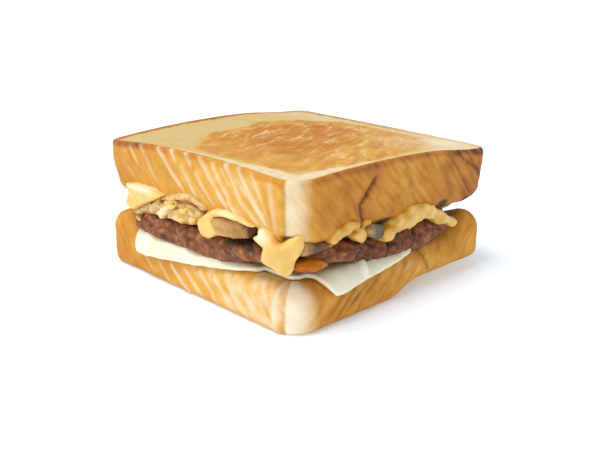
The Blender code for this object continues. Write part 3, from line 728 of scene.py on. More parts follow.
def ramped(tree, value, stops):
    """The colours of a Color Ramp with these (position, colour) stops."""
    node = add_node(tree, "ValToRGB", {0: value})
    elements = node.color_ramp.elements
    while len(elements) < len(stops):
        elements.new(0.5)
    for element, (place, shade) in zip(elements, stops):
        element.position = place
        element.color = (*shade, 1)
    return node.outputs[0]


def spread(tree, value, low, high, to_low=0.0, to_high=1.0):
    """A value taken from one range to another, and kept inside it."""
    inputs = {0: value, 1: low, 2: high, 3: to_low, 4: to_high}
    return add_node(tree, "MapRange", inputs).outputs[0]


def speckled(tree, where, scale, detail=4.0, rough=0.55, warp=0.0):
    inputs = {"Vector": where, "Scale": scale, "Detail": detail, "Roughness": rough, "Distortion": warp}
    return add_node(tree, "TexNoise", inputs).outputs[0]


def attribute(tree, name):
    return add_node(tree, "Attribute", attribute_name=name, attribute_type="GEOMETRY").outputs["Fac"]


def new_group(name, inputs, outputs):
    """An empty shader group with float sockets: its tree, its two end nodes and its scaled coordinates."""
    group = bpy.data.node_groups.new(name, "ShaderNodeTree")
    sockets = group.interface
    sockets.new_socket("Vector", in_out="INPUT", socket_type="NodeSocketVector")
    for socket_name, default in (("Scale", 1.0), *inputs):
        sockets.new_socket(socket_name, in_out="INPUT", socket_type="NodeSocketFloat").default_value = default
    for socket_name in outputs:
        sockets.new_socket(socket_name, in_out="OUTPUT", socket_type="NodeSocketFloat")
    given, made = group.nodes.new("NodeGroupInput"), group.nodes.new("NodeGroupOutput")
    inputs = {0: given.outputs["Vector"], "Scale": given.outputs["Scale"]}
    return group, given, made, add_node(group, "VectorMath", inputs, operation="SCALE").outputs[0]


def crumb_group():
    """Mottling and pores of bread and meat. Mottle varies the tone, Height is for a Bump node."""
    group, given, made, where = new_group("crumb", [("Pores", 0.5)], ("Mottle", "Height"))
    broad = speckled(group, where, 120, 5, 0.6, 0.4)
    fine = speckled(group, where, 900, 4, 0.6)
    mottle = worked(group, "ADD", worked(group, "MULTIPLY", broad, 0.65), worked(group, "MULTIPLY", fine, 0.35))
    cells = add_node(group, "TexVoronoi", {"Vector": where, "Scale": 700.0, "Randomness": 1.0})
    pits = spread(group, cells.outputs["Distance"], 0.05, 0.4)
    deep = worked(group, "MULTIPLY", pits, given.outputs["Pores"])
    group.links.new(mottle, made.inputs["Mottle"])
    group.links.new(worked(group, "ADD", worked(group, "MULTIPLY", fine, 0.5), deep), made.inputs["Height"])
    return group


def film_group():
    """A moist or greasy film. Roughness varies between the two given, Height is for a Bump node."""
    sockets = [("Wet", 0.2), ("Dry", 0.5)]
    group, given, made, where = new_group("moist_film", sockets, ("Roughness", "Height"))
    pools = spread(group, speckled(group, where, 160, 3, 0.5, 0.6), 0.35, 0.65)
    inputs = {0: pools, 2: given.outputs["Wet"], 3: given.outputs["Dry"]}
    group.links.new(add_node(group, "Mix", inputs, data_type="FLOAT").outputs[0], made.inputs["Roughness"])
    group.links.new(speckled(group, where, 420, 4, 0.5, 0.3), made.inputs["Height"])
    return group


GROUPS = {"crumb": crumb_group, "moist_film": film_group}


def use_group(tree, name, where, **values):
    """Places a shared effect, which is built on its first use, and gives its outputs."""
    node = tree.nodes.new("ShaderNodeGroup")
    node.node_tree = bpy.data.node_groups.get(name) or GROUPS[name]()
    tree.links.new(where, node.inputs["Vector"])
    for socket_name, value in values.items():
        node.inputs[socket_name].default_value = value
    return node.outputs


def new_material(name):
    """A material, its tree, its Principled BSDF and the object coordinates."""
    material = bpy.data.materials.new(name)
    material.use_nodes = True
    tree = material.node_tree
    shader = tree.nodes["Principled BSDF"]
    where = add_node(tree, "TexCoord").outputs["Object"]
    return material, tree, shader, where


def surface(tree, shader, shade, roughness, height, depth, weight):
    """Joins the colour and the roughness to the shader, and the height through a Bump node."""
    bumps = add_node(tree, "Bump", {"Height": height, "Distance": depth, "Strength": weight}).outputs[0]
    for name, value in (("Base Color", shade), ("Roughness", roughness), ("Normal", bumps)):
        tree.links.new(value, shader.inputs[name])


def varied(tree, value, amount):
    """A value from about 0 to 1, such as noise, as a change of tone to both sides."""
    return worked(tree, "MULTIPLY", worked(tree, "SUBTRACT", value, 0.5), amount)


def soft_inside(shader, weight, reach):
    """Lets light into a soft piece."""
    shader.inputs["Subsurface Weight"].default_value = weight
    shader.inputs["Subsurface Radius"].default_value = reach
    shader.inputs["Subsurface Scale"].default_value = 1.0


def bread_material(bread):
    material, tree, shader, where = new_material("toasted_bread")
    cream, brown, scorch_and_shade = tuple(bread.cream), tuple(bread.brown), tuple(bread.scorch_and_shade)
    crumb = use_group(tree, "crumb", where, Scale=1.0, Pores=0.45)
    tone = worked(tree, "ADD", attribute(tree, "toast"), varied(tree, crumb["Mottle"], 0.42), clamp=True)
    crust = ((0.0, cream), (0.32, bread.gold), (0.6, bread.amber), (0.85, brown), (1.0, scorch_and_shade))
    crown = ((0.0, bread.crumb), (0.3, bread.buttered), (0.62, bread.griddled), (0.9, brown), (1.0, scorch_and_shade))
    shade = mixed(tree, attribute(tree, "crown"), ramped(tree, tone, crust), ramped(tree, tone, crown))
    # Light and dark strokes across the golden patch
    aligned = {"Vector": where, "Rotation": (0, 0, STROKE_TURN), "Scale": (1, STROKE_LENGTH, 1)}
    slanted = add_node(tree, "Mapping", aligned, vector_type="TEXTURE").outputs[0]
    strokes = speckled(tree, slanted, 300, 2, 0.5, 0.7)
    streaks = attribute(tree, "streaks")
    light = worked(tree, "MULTIPLY", spread(tree, strokes, 0.54, 0.7, 0.0, 0.55), streaks)
    deep = worked(tree, "MULTIPLY", spread(tree, strokes, 0.48, 0.34, 0.0, 0.4), streaks)
    shade = mixed(tree, light, mixed(tree, deep, shade, brown), tuple(bread.stroke))
    # Pale ridges, bands and rim, which are painted highlight (the rim partly untoasted crumb), mottled but only
    # where the crust is pale at all
    given = attribute(tree, "pale")
    pale = worked(tree, "MAXIMUM", worked(tree, "ADD", given, varied(tree, crumb["Mottle"], 0.25)), 0.0)
    pale = worked(tree, "MINIMUM", worked(tree, "MULTIPLY", pale, spread(tree, given, 0.0, 0.15)), 1.0)
    # Painted shade of grooves, creases, the crack and the gaps under the upper slice, mixed towards the darkest
    # colour
    shade = mixed(tree, attribute(tree, "dark"), mixed(tree, pale, shade, cream), scorch_and_shade)
    shader.inputs["Specular IOR Level"].default_value = 0.35
    roughness = spread(tree, crumb["Mottle"], 0.3, 0.7, 0.55, 0.8)
    surface(tree, shader, shade, roughness, crumb["Height"], 0.0004, 0.6)
    return material


def cheese_material(filling):
    material, tree, shader, where = new_material("white_cheese")
    film = use_group(tree, "moist_film", where, Scale=0.6, Wet=0.28, Dry=0.45)
    cloud = spread(tree, speckled(tree, where, 90, 3, 0.5, 0.5), 0.3, 0.75)
    shade = mixed(tree, cloud, tuple(filling.cheese), tuple(filling.cheese_shade))
    soft_inside(shader, 0.25, (0.004, 0.003, 0.0015))
    surface(tree, shader, shade, film["Roughness"], film["Height"], 0.00025, 0.4)
    return material


def beef_material(filling):
    material, tree, shader, where = new_material("beef")
    crumb = use_group(tree, "crumb", where, Scale=1.6, Pores=0.8)
    film = use_group(tree, "moist_film", where, Scale=1.5, Wet=0.3, Dry=0.7)
    tone = worked(tree, "ADD", attribute(tree, "sear"), varied(tree, crumb["Mottle"], 0.9), clamp=True)
    stops = ((0.0, filling.beef_dark), (0.5, filling.beef), (1.0, filling.beef_light))
    shader.inputs["Specular IOR Level"].default_value = 0.3
    surface(tree, shader, ramped(tree, tone, stops), film["Roughness"], crumb["Height"], 0.0005, 0.8)
    return material


def onion_material(filling, name, tones):
    """Onion in these three tones from dark to light."""
    material, tree, shader, where = new_material(name)
    film = use_group(tree, "moist_film", where, Scale=1.4, Wet=0.18, Dry=0.42)
    cloud = varied(tree, speckled(tree, where, 260, 5, 0.6, 0.8), 0.7)
    tone = worked(tree, "ADD", attribute(tree, "vein"), cloud, clamp=True)
    shade = ramped(tree, tone, tuple(zip((0.0, 0.45, 1.0), tones)))
    shade = mixed(tree, attribute(tree, "grey"), shade, tuple(filling.onion_grey))
    # Painted shade in the gaps, cavities and recesses
    shade = mixed(tree, attribute(tree, "dark"), shade, tuple(filling.hollow_shade))
    shader.inputs["Specular IOR Level"].default_value = 0.2
    soft_inside(shader, 0.15, (0.003, 0.0015, 0.0006))
    surface(tree, shader, shade, film["Roughness"], film["Height"], 0.0003, 0.6)
    return material


def sauce_material(filling):
    material, tree, shader, where = new_material("creamy_sauce")
    film = use_group(tree, "moist_film", where, Scale=1.0, Wet=0.22, Dry=0.42)
    cloud = varied(tree, speckled(tree, where, 200, 4, 0.5, 0.5), 0.8)
    tone = worked(tree, "ADD", attribute(tree, "gold"), cloud, clamp=True)
    shade = mixed(tree, tone, tuple(filling.sauce), tuple(filling.sauce_gold))
    shade = mixed(tree, attribute(tree, "pale"), shade, tuple(filling.sauce_pale))
    # Painted shade where the sauce lies back in the gaps
    shade = mixed(tree, attribute(tree, "dark"), shade, tuple(filling.hollow_shade))
    soft_inside(shader, 0.2, (0.004, 0.0025, 0.001))
    surface(tree, shader, shade, film["Roughness"], film["Height"], 0.00035, 0.5)
    return material


# ---- Bread ----------------------------------------------------------------------------------


def upper_side(share, turn):
    """(Inset, height) on the side of the upper slice: a soft lower edge, the crust and a crisp upper edge."""
    underside = UPPER_UNDERSIDE - from_table(SAG, way_round(turn))
    shoulder = underside + UNDER_HEIGHT
    rim = slice_point(turn, 0, UPPER_RADII)
    top = upper_slice_top(rim.x, rim.y)
    if share < 0.3:
        bend = share / 0.3 * math.pi / 2
        inset, height = UNDER_INSET * (1 - math.sin(bend)), underside + UNDER_HEIGHT * (1 - math.cos(bend))
    elif share < 0.9:
        inset, height = 0.0, shoulder + (top - TOP_EDGE - shoulder) * (share - 0.3) / 0.6
    else:
        bend = (share - 0.9) / 0.1 * math.pi / 2
        inset, height = TOP_EDGE * (1 - math.cos(bend)), top - TOP_EDGE * (1 - math.sin(bend))
    tuck = 0.5 + 2.2 * bump(0.625, 0.07, turn) + 0.8 * bump(0.125, 0.07, turn)
    return inset + tuck * max((47 - height) / 12.5, 0.0) ** 1.3, height


def lower_side(share, turn):
    """(Inset, height) on the side of the lower slice: a rounded base edge, the crust and a soft upper edge."""
    rim = slice_point(turn, EDGE_ROUND)
    shoulder = lower_slice_top(rim.x, rim.y) - EDGE_ROUND
    lift = base_lift(turn, 0)
    if share < 0.2:
        bend = share / 0.2 * math.pi / 2
        inset = BASE_ROUND * (1 - math.sin(bend))
        return inset, base_lift(turn, inset) + BASE_ROUND * (1 - math.cos(bend))
    if share < 0.6:
        return 0.0, lift + BASE_ROUND + (shoulder - BASE_ROUND - lift) * (share - 0.2) / 0.4
    bend = (share - 0.6) / 0.4 * math.pi / 2
    return EDGE_ROUND * (1 - math.cos(bend)), shoulder + EDGE_ROUND * math.sin(bend)


def crust_finish(bread, turn, spot, marks, tones, lower, seed):
    """How far the crust stands out at a spot, and its (toast, pale, dark), the paleness being painted
    highlight.
    """
    side, along = side_and_along(turn)
    way = way_round(turn)
    raised = pale = dark = 0.0
    fading = 0.8 + 0.5 * lumps(spot, 4.5, seed + 7)
    # Ridges get painted highlight, grooves get painted shade
    for mark in marks[side]:
        cover = near_line(along, spot.z, mark) * mark[5] * fading
        raised += cover
        pale = max(pale, RIDGE_HIGHLIGHT * cover)
        dark = max(dark, -GROOVE_SHADE * cover)
    ridge, dent = bread.ridge_height / MM, bread.dent_depth / MM
    leaning = -spot.z if lower and side == 0 else spot.z
    slanted = lumps(Vector((along + leaning, (along - leaning) * 0.2, 9 * side)), 2.6, seed + 6)
    relief = ridge * raised + 0.16 * slanted + dent * lumps(spot, 11, seed) + 0.12 * lumps(spot, 3.2, seed + 5)
    # The tone tables also hold painted shade on the right side
    toast = from_table(tones, way) + (0.2 if side == 0 else 0.12) * slanted
    toast += 0.1 * lumps(spot, 14, seed + 2) + 0.08 * lumps(spot, 4, seed + 3)
    if not lower:  # browner just under the upper edge, most of all at the far left
        under_edge = upper_slice_top(spot.x, spot.y) - spot.z + 0.8 * lumps(spot, 5, seed + 4)
        toast += (0.2 + 0.16 * ramp(-10, -40, along) * (side == 3)) * (1 - ramp(1.0, 3.2, under_edge))
    elif side in (0, 3):
        toast += 0.12 * (1 - ramp(0.5, 4, spot.z - base_lift(turn, 0)))
    # The pale bands at the front corner are painted highlight, with painted shade in the crease at their edge
    band_end, highlight_strength = (LOWER_HIGHLIGHT_END, 1.05) if lower else (UPPER_HIGHLIGHT_END, 0.8)
    highlight_band = ramp(HIGHLIGHT_BAND_EDGE - 0.4, HIGHLIGHT_BAND_EDGE + 0.4, way) * (1 - ramp(HIGHLIGHT_BAND_EDGE + 0.5, band_end, way))
    crease = bump(HIGHLIGHT_BAND_EDGE - 0.3, 1.1, way)
    pale = max(pale, highlight_strength * highlight_band * (0.9 + 0.3 * lumps(spot, 6, seed + 9)))
    relief -= 0.35 * crease
    dark = max(dark, 0.12 * crease)
    # Painted shade on the lower edge of the upper slice, over the gaps below it
    if not lower:
        for middle, width, high in UNDER_EDGE_SHADE:
            under_edge_shade = bump(middle, width, way) * (1 - ramp(high - 1.2, high, spot.z))
            dark = max(dark, 0.95 * min(1.6 * under_edge_shade, 1))
    # The crack on the right side: cut in, and darkened inside with painted shade
    if side == 0 and not lower:
        away = near_path(along, spot.z, CRACK)
        gape = 1 - ramp(0.15, 1.05, away)
        relief -= 0.9 * gape
        dark = max(dark, 0.85 * gape)
        toast += 0.14 * (1 - ramp(0.5, 3.0, away))
    return relief, (toast, pale, dark)


def inside(path, x, y):
    """How far a spot lies inside a closed path, below 0 outside it."""
    within = False
    for (a, b), (c, d) in zip(path, path[1:]):
        if (b > y) != (d > y) and x < a + (c - a) * (y - b) / (d - b):
            within = not within
    away = near_path(x, y, path)
    return away if within else -away


def crown_tone(bread, x, y, inset, seed):
    """Relief of the toasted top and its (toast, pale, dark, streaks): a golden patch, browner in its middle."""
    spot = Vector((x, y, 0))
    ragged = 2.6 * lumps(spot, 9, seed) + 1.8 * lumps(spot, 3.5, seed + 1)
    patch = ramp(-1.5, 3.0, inside(PATCH, x, y) + ragged)
    browner = ramp(-5.0, 5.0, inside(BROWNER, x, y) + 1.5 * ragged)
    right = ramp(5, 45, x + y * 0.5)
    mottled = 0.1 * lumps(spot, 14, seed + 7) + 0.08 * lumps(spot, 5, seed + 3)
    toast = 0.1 + 0.1 * right + 0.08 * lumps(spot, 12, seed + 6)
    toast += patch * (0.38 - 0.17 * right + mottled) + 0.16 * browner
    # The lighter rim along the front, partly untoasted crumb and partly painted highlight, wider at the front
    # and far right corners
    near_front = ramp(-14, 6, x - y) * ramp(-16, 2, x)
    corner = bump(47, 42, x) * bump(-52, 42, y)
    far_right = ramp(14, 40, y) * ramp(30, 50, x)
    width = 1.4 + 5.2 * corner + 7.0 * far_right + 1.2 * lumps(spot, 8, seed + 9)
    rim = (1 - ramp(width, width + 2.2, inset)) * near_front
    far_pale = 0.2 * ramp(10, 50, y) * (1 - patch) + 0.36 * bump(43, 16, x) * bump(44, 18, y)
    far_pale += 0.2 * ramp(5, 35, x) * ramp(-10, 30, y)
    pale = max(rim * (0.56 + 0.3 * lumps(spot, 3, seed + 5)), far_pale * (1 - browner))
    # The browned rim along the back
    behind = max(1 - ramp(-53, -47, x), ramp(47, 53, y) * (1 - 0.6 * ramp(-20, 40, x)))
    toast += 0.72 * behind * (1 - ramp(3.8, 7.2, inset + 0.5 * lumps(spot, 6, seed + 2)))
    relief = bread.crown_relief / MM * (lumps(spot, 3, seed + 4) + 1.2 * lumps(spot, 6, seed + 8))
    return relief, (toast, pale, 0.0, patch * (1 - rim) * (1 - 0.6 * ramp(-22, -44, y)))


def slice_shell(bread, lower):
    """A slice: a finely cut cube whose faces become the underside, the crust and the top."""
    seed = 1 if lower else 20
    side_profile = lower_side if lower else upper_side
    span = (1.0, 15.0) if lower else (36.0, 54.5)
    shown = LOWER_MARKS if lower else UPPER_MARKS
    marks = [shown.get(side) or hidden_marks(*span, seed + side) for side in range(4)]
    tones = LOWER_TONES if lower else UPPER_TONES
    bm = cut_cube(SLICE_CUTS, SLICE_CUTS, CRUST_CUTS)
    layers = [bm.verts.layers.float.new(name) for name in ("toast", "pale", "dark", "streaks", "crown")]
    corners = CORNERS if lower else UPPER_RADII
    for vert in bm.verts:
        across, along, level = vert.co
        reach = max(abs(across), abs(along))
        turn = turn_of(across, along)
        if reach > 0.9999:
            inset, height = side_profile((level + 1) / 2, turn)
            point = slice_point(turn, inset, corners) + UP * height
            relief, masks = crust_finish(bread, turn, point, marks, tones, lower, seed)
            fade = max(1 - inset / EDGE_ROUND, 0.0)
            vert.co = point + outline(turn, HALF, corners)[1] * relief * fade
            masks = (*masks, 0.0, ramp(0.93, 1.0, (level + 1) / 2) if not lower else 0.0)
        else:
            edge_inset = side_profile(1.0 if level > 0 else 0.0, turn)[0]
            inset = edge_inset + (HALF - edge_inset) * (1 - reach)
            point = slice_point(turn, inset, corners)
            relief, masks = crown_tone(bread, point.x, point.y, inset, seed)
            if level > 0:
                height = lower_slice_top(point.x, point.y) if lower else upper_slice_top(point.x, point.y)
                height += 0.0 if lower else relief * ramp(edge_inset, edge_inset + 2, inset)
            else:
                sag = from_table(SAG, way_round(turn)) * (1 - ramp(edge_inset, edge_inset + 6, inset))
                height = base_lift(turn, inset) if lower else UPPER_UNDERSIDE - sag
            if (level > 0) == lower:  # the faces inside the sandwich are plain crumb
                masks = (0.22, 0.0, 0.0, 0.0)
            masks = (*masks, 1.0)
            vert.co = point + UP * height
        for layer, value in zip(layers, masks):
            vert[layer] = min(max(value, 0.0), 1.0)
    return bm


class SlicesOperator(bpy.types.Operator):
    """Add the two toasted slices of bread"""

    bl_idname = "patty_melt.slices"
    bl_label = "Bread slices"

    def execute(self, context):
        bread = context.scene.melt_bread
        material = bread_material(bread)
        for node, lower in (("bread_bottom", True), ("bread_top", False)):
            add_piece(slice_shell(bread, lower), node + "_toasted", (node,), material)
        return {"FINISHED"}


# ---- Cheese ---------------------------------------------------------------------------------


def cheese_run(turn, base, bend):
    """How far the cheese runs on past the start of the soft edge, given the height of the shoulder below it."""
    side, along = side_and_along(turn)
    if side == 3 and along > -60:
        table, aside, started = CHEESE_FRONT, SEEN_ASIDE, ramp(-43.5, -33.2, along)
    elif side == 0:
        table, aside, started = CHEESE_RIGHT, -SEEN_ASIDE, 1 - ramp(9, 21, along)
    else:
        return -4 + 9 * bump(4, 42, along) + 1.5 * noise.noise(Vector((along / 9, side, 0)))
    behind = 0.0
    for _ in range(5):
        target = float(np.interp(along + aside * behind, *zip(*table))) - SEEN_UP * behind
        lift = target + 0.35 * noise.noise(Vector((along / 5, side, 3))) - base
        run = bend * math.acos(min(lift / bend, 1.0)) if lift > 0 else bend * math.pi / 2 - lift
        behind = EDGE_ROUND - bend * math.sin(min(run / bend, math.pi / 2))
    return -4 + started * (run + 4)


def cheese_sheet(thickness):
    """A melted slice: flat under the patty, over the bread's edge and down its sides, with a rounded rim."""
    radius = thickness / 2
    bend = EDGE_ROUND + CHEESE_CLEARANCE
    flat = (40.0, 26.0, 19.0, 16.0, 13.5)
    hanging = 24
    under = [("flat", inset, 0.0) for inset in flat]
    under += [("hang", step / hanging, 0.0) for step in range(hanging + 1)]
    rim = [("rim", 1.0, math.radians(degrees)) for degrees in (-60, -30, 0, 30, 60)]
    over = [(kind, share, 1.0) for kind, share, _ in reversed(under)]
    rings = under + rim + over

    def on_bread(turn, run, lift):
        """A point on the bread, run past the start of its soft edge and lifted off it."""
        if run <= 0:
            point = slice_point(turn, EDGE_ROUND - run)
            return point + UP * (lower_slice_top(point.x, point.y) + CHEESE_GAP + lift)
        edge = slice_point(turn, EDGE_ROUND)
        out = outline(turn, HALF, CORNERS)[1]
        turned = min(run / bend, math.pi / 2)
        stand_off = EDGE_ROUND + CHEESE_GAP + (CHEESE_CLEARANCE - CHEESE_GAP) * ramp(0, 0.5, turned) + lift
        base = lower_slice_top(edge.x, edge.y) - EDGE_ROUND
        below = max(run - bend * math.pi / 2, 0.0)
        return edge + out * stand_off * math.sin(turned) + UP * (base + stand_off * math.cos(turned) - below)

    def place(turn, ring):
        kind, share, side = rings[ring]
        if turn is None:
            return UP * (LOWER_SLICE + CHEESE_GAP + thickness * side)
        if kind == "flat":
            point = slice_point(turn, share)
            return point + UP * (lower_slice_top(point.x, point.y) + CHEESE_GAP + thickness * side)
        edge = slice_point(turn, EDGE_ROUND)
        base = lower_slice_top(edge.x, edge.y) - EDGE_ROUND
        full = cheese_run(turn, base, bend) - radius
        start = min((full - 5) / 2, 0.0) - 1.5
        if kind == "rim":
            return on_bread(turn, full + radius * math.cos(side), radius + radius * math.sin(side))
        run = start + (full - start) * share
        spot = on_bread(turn, run, thickness * side)
        if side:
            which, along = side_and_along(turn)
            wave = 0.28 * lumps(spot, 7, 70) * ramp(-2, 2, run)
            fold = 2.6 * bump(-21 + (spot.z - 18) * 0.5, 2.6, along) * bump(18.5, 4.5, spot.z)
            return on_bread(turn, run, thickness + wave + (fold if which == 0 else 0.0))
        return spot

    return ring_stack(440, len(rings), place)


class CheeseOperator(bpy.types.Operator):
    """Add the melted cheese slice"""

    bl_idname = "patty_melt.cheese"
    bl_label = "Cheese"

    def execute(self, context):
        filling = context.scene.melt_filling
        sheet = cheese_sheet(filling.cheese_thickness / MM)
        add_piece(sheet, "cheese_melted", ("cheese",), cheese_material(filling))
        return {"FINISHED"}


# ---- Patty ----------------------------------------------------------------------------------


def split_at(spot):
    """How deep the cracks in the right side of the patty are at a spot."""
    lean = 0.3 * (spot.z - 24)
    depths = (depth * bump(middle + lean, 1.5, spot.y) for middle, depth in PATTY_CRACKS)
    return ramp(40, 50, spot.x) * max(depths)


def from_crumb(spot):
    """How far a spot is from the middle of its crumb of mince, about 0 to 1."""
    return noise.voronoi(spot / MINCE_SIZE)[0][0]


def patty_shell():
    """A thick patty, squarish and craggy round its side, with the grain of minced meat."""
    top = PATTY_TOP - PATTY_BOTTOM
    profile = [
        (14, 0.0), (7, 0.02), (3.4, 0.05), (1.2, 0.14), (0.1, 0.28), (-0.2, 0.5), (0.4, 0.76), (2.8, 0.97),
        (13, 1.0),
    ]
    spots = np.linspace(0, len(profile) - 1, 49)
    insets = np.interp(spots, range(len(profile)), [inset for inset, _ in profile])
    shares = np.interp(spots, range(len(profile)), [share for _, share in profile])
    softened = np.full(5, 0.2)
    insets, shares = (np.convolve(np.pad(line, 2, "edge"), softened, "valid") for line in (insets, shares))

    def place(turn, ring):
        inset, share = float(insets[ring]), float(shares[ring])
        if turn is None:
            return PATTY_MIDDLE + UP * (PATTY_BOTTOM + top * share)
        point, out = outline(turn, PATTY_HALF, PATTY_CORNERS)
        point = PATTY_MIDDLE + point - out * inset
        corner = ramp(33, 46, (point.x - point.y) / 2)
        raised = max(lower_slice_top(point.x, point.y) - LOWER_SLICE - 0.6, 0.0)
        raised *= 1 - ramp(50, 54, max(point.x, -point.y))
        base = PATTY_BOTTOM + min(raised, top - 3) + 2.4 * corner
        spot = point + UP * (base + (PATTY_TOP + PATTY_CORNER_RISE * corner - base) * share)
        over_edge = ramp(48, 55, max(spot.x, -spot.y)) * (1 - share) ** 1.5
        droop = PATTY_DROOP + 1.6 * bump(12, 18, spot.y)
        spot.z -= droop * over_edge * (1 - ramp(8, 40, min(spot.x, -spot.y)))
        on_side = ramp(0.0, 0.2, share) * (1 - ramp(0.97, 1.0, share))
        crag = lumps(spot, 8, 40) + 0.7 * lumps(spot, 4, 50)
        grain = 0.9 * (0.45 - from_crumb(spot)) + 0.35 * lumps(spot, 1.5, 60)
        out_by = (1.5 + 0.5 * ramp(45, 52, spot.x)) * (crag - 0.15) + grain - 1.8 * split_at(spot)
        return spot + out * out_by * on_side + UP * (0.5 * crag + 0.3 * grain) * on_side

    def sear(spot):
        tone = 0.52 + 0.6 * (0.42 - from_crumb(spot)) + 0.22 * lumps(spot, 6, 41) + 0.2 * lumps(spot, 2.0, 61)
        # Painted shade under the overhanging slab and bits on the left side, and on the right side of the patty
        shade_under_slab = 0.5 * bump(29, 16, spot.x) * ramp(26.6, 29, spot.z)
        shade_under_bits = 0.55 * bump(-23, 4.5, spot.x) * ramp(26.4, 28.4, spot.z)
        left = (shade_under_slab + shade_under_bits) * ramp(-44, -50, spot.y)
        right = (0.1 + 0.4 * bump(12, 12, spot.y) * ramp(27, 29.5, spot.z)) * ramp(42, 50, spot.x)
        # The cracks are darkened with painted shade too
        return tone - 0.6 * split_at(spot) - left - right

    bm = ring_stack(420, len(spots), place)
    tone_verts(bm, sear=sear)
    return bm


class PattyOperator(bpy.types.Operator):
    """Add the beef patty"""

    bl_idname = "patty_melt.patty"
    bl_label = "Patty"

    def execute(self, context):
        add_piece(patty_shell(), "patty_seared", ("patty",), beef_material(context.scene.melt_filling))
        return {"FINISHED"}


# ---- Onions and sauce -----------------------------------------------------------------------


def layer_core(bottom, top):
    """A flat layer between the patty and the upper slice, with an uneven edge."""

    def place(turn, ring):
        height = UP * (bottom, top)[ring]
        if turn is None:
            return height
        point, out = outline(turn, LAYER_HALF, (LAYER_CORNER,) * 4)
        return point + out * 1.6 * lumps(point + height, 9, 60) + height

    return ring_stack(160, 2, place)


def gap_shade(spot):
    """How much painted shade a spot in a gap gets: 0 at the crust's face, rising a few millimetres behind it.
    """
    return 0.9 * ramp(2.2, 4.2, HALF - max(abs(spot.x), abs(spot.y)))


def shown_left(spot):
    """1 at the face of side 3, and 0 behind it."""
    return ramp(-50, -54, spot.y)


class OnionsOperator(bpy.types.Operator):
    """Add the grilled onions and the browned strip"""

    bl_idname = "patty_melt.onions"
    bl_label = "Onions"

    def execute(self, context):
        filling = context.scene.melt_filling
        shapes = [layer_core(ONION_BOTTOM, ONION_TOP)]
        shapes += [onion_strip(*strip, seed=index * 3.7) for index, strip in enumerate(STRIPS)]
        shapes += [lobe(*piece) for piece in ONION_LOBES]
        heap = melt_together(shapes, "onions_skin", ONION_VOXEL, 2)
        for vert in heap.verts:
            drawn_out = Vector((vert.co.x * 0.3, vert.co.y * 0.3, vert.co.z))
            vert.co += vert.normal * 0.25 * lumps(drawn_out, 1.1, 80)

        def vein(spot):
            lines = 0.3 * lumps(Vector((spot.x * 0.25, spot.y * 0.25, spot.z * 1.1)), 1.0, 81)
            front = shown_left(spot)
            slab = ramp(12, 16, spot.x) * (1 - ramp(38, 41, spot.x)) * front
            slab_tone = 0.47 - 0.013 * (spot.x - 14) + 0.2 * ramp(31.8, 30.6, spot.z)
            slab_tone -= 0.15 * ramp(35.5, 37.5, spot.z)
            # Painted shade along the line under the top piece
            arch = 0.1 - 0.5 * (1 - ramp(0.3, 1.0, near_path(spot.x, spot.z, UNDER_ARCH)))
            loose = 0.5 + lines + 0.3 * lumps(spot, 2.4, 82) + arch * front
            return loose + (slab_tone + 0.3 * lines - loose) * slab

        # Painted shade: in the gaps behind the crust's face, the cavities between bits, the hollow at the
        # slab's end and the recess on the right side
        def dark(spot):
            front = shown_left(spot)
            cavities = 0.85 * ramp(0.22, 0.42, lumps(spot, 2.2, 83)) * front
            cavities *= bump(-18, 24, spot.x) * (1 - ramp(35.5, 36.5, spot.z))
            end = 0.98 * min(1.8 * bump(37.4, 3.4, spot.x), 1) * front
            recess = (0.68 + 0.5 * lumps(spot, 2.4, 84)) * bump(-44, 10, spot.y) * ramp(50, 54, spot.x)
            return max(gap_shade(spot), cavities, end, recess)

        # Painted shade: onion on the right side turned grey
        def grey(spot):
            return (1.3 * bump(-14.5, 7, spot.y) + 0.6 * bump(-44, 10, spot.y)) * ramp(50, 54, spot.x)

        tone_verts(heap, vein=vein, dark=dark, grey=grey)
        tones = (filling.onion_dark, filling.onion, filling.onion_pale)
        add_piece(heap, "onions_grilled", ("onions",), onion_material(filling, "grilled_onion", tones))

        def strip_vein(spot):
            return 0.5 + 0.25 * lumps(Vector((spot.x, spot.y * 0.3, spot.z * 2)), 1.6, 90)

        strip = blob(*BROWNED)
        tone_verts(strip, vein=strip_vein)
        tones = (filling.amber_dark, filling.amber_onion, filling.amber_light)
        amber = onion_material(filling, "browned_onion", tones)
        add_piece(strip, "onion_browned_strip", ("onion_browned",), amber)
        return {"FINISHED"}


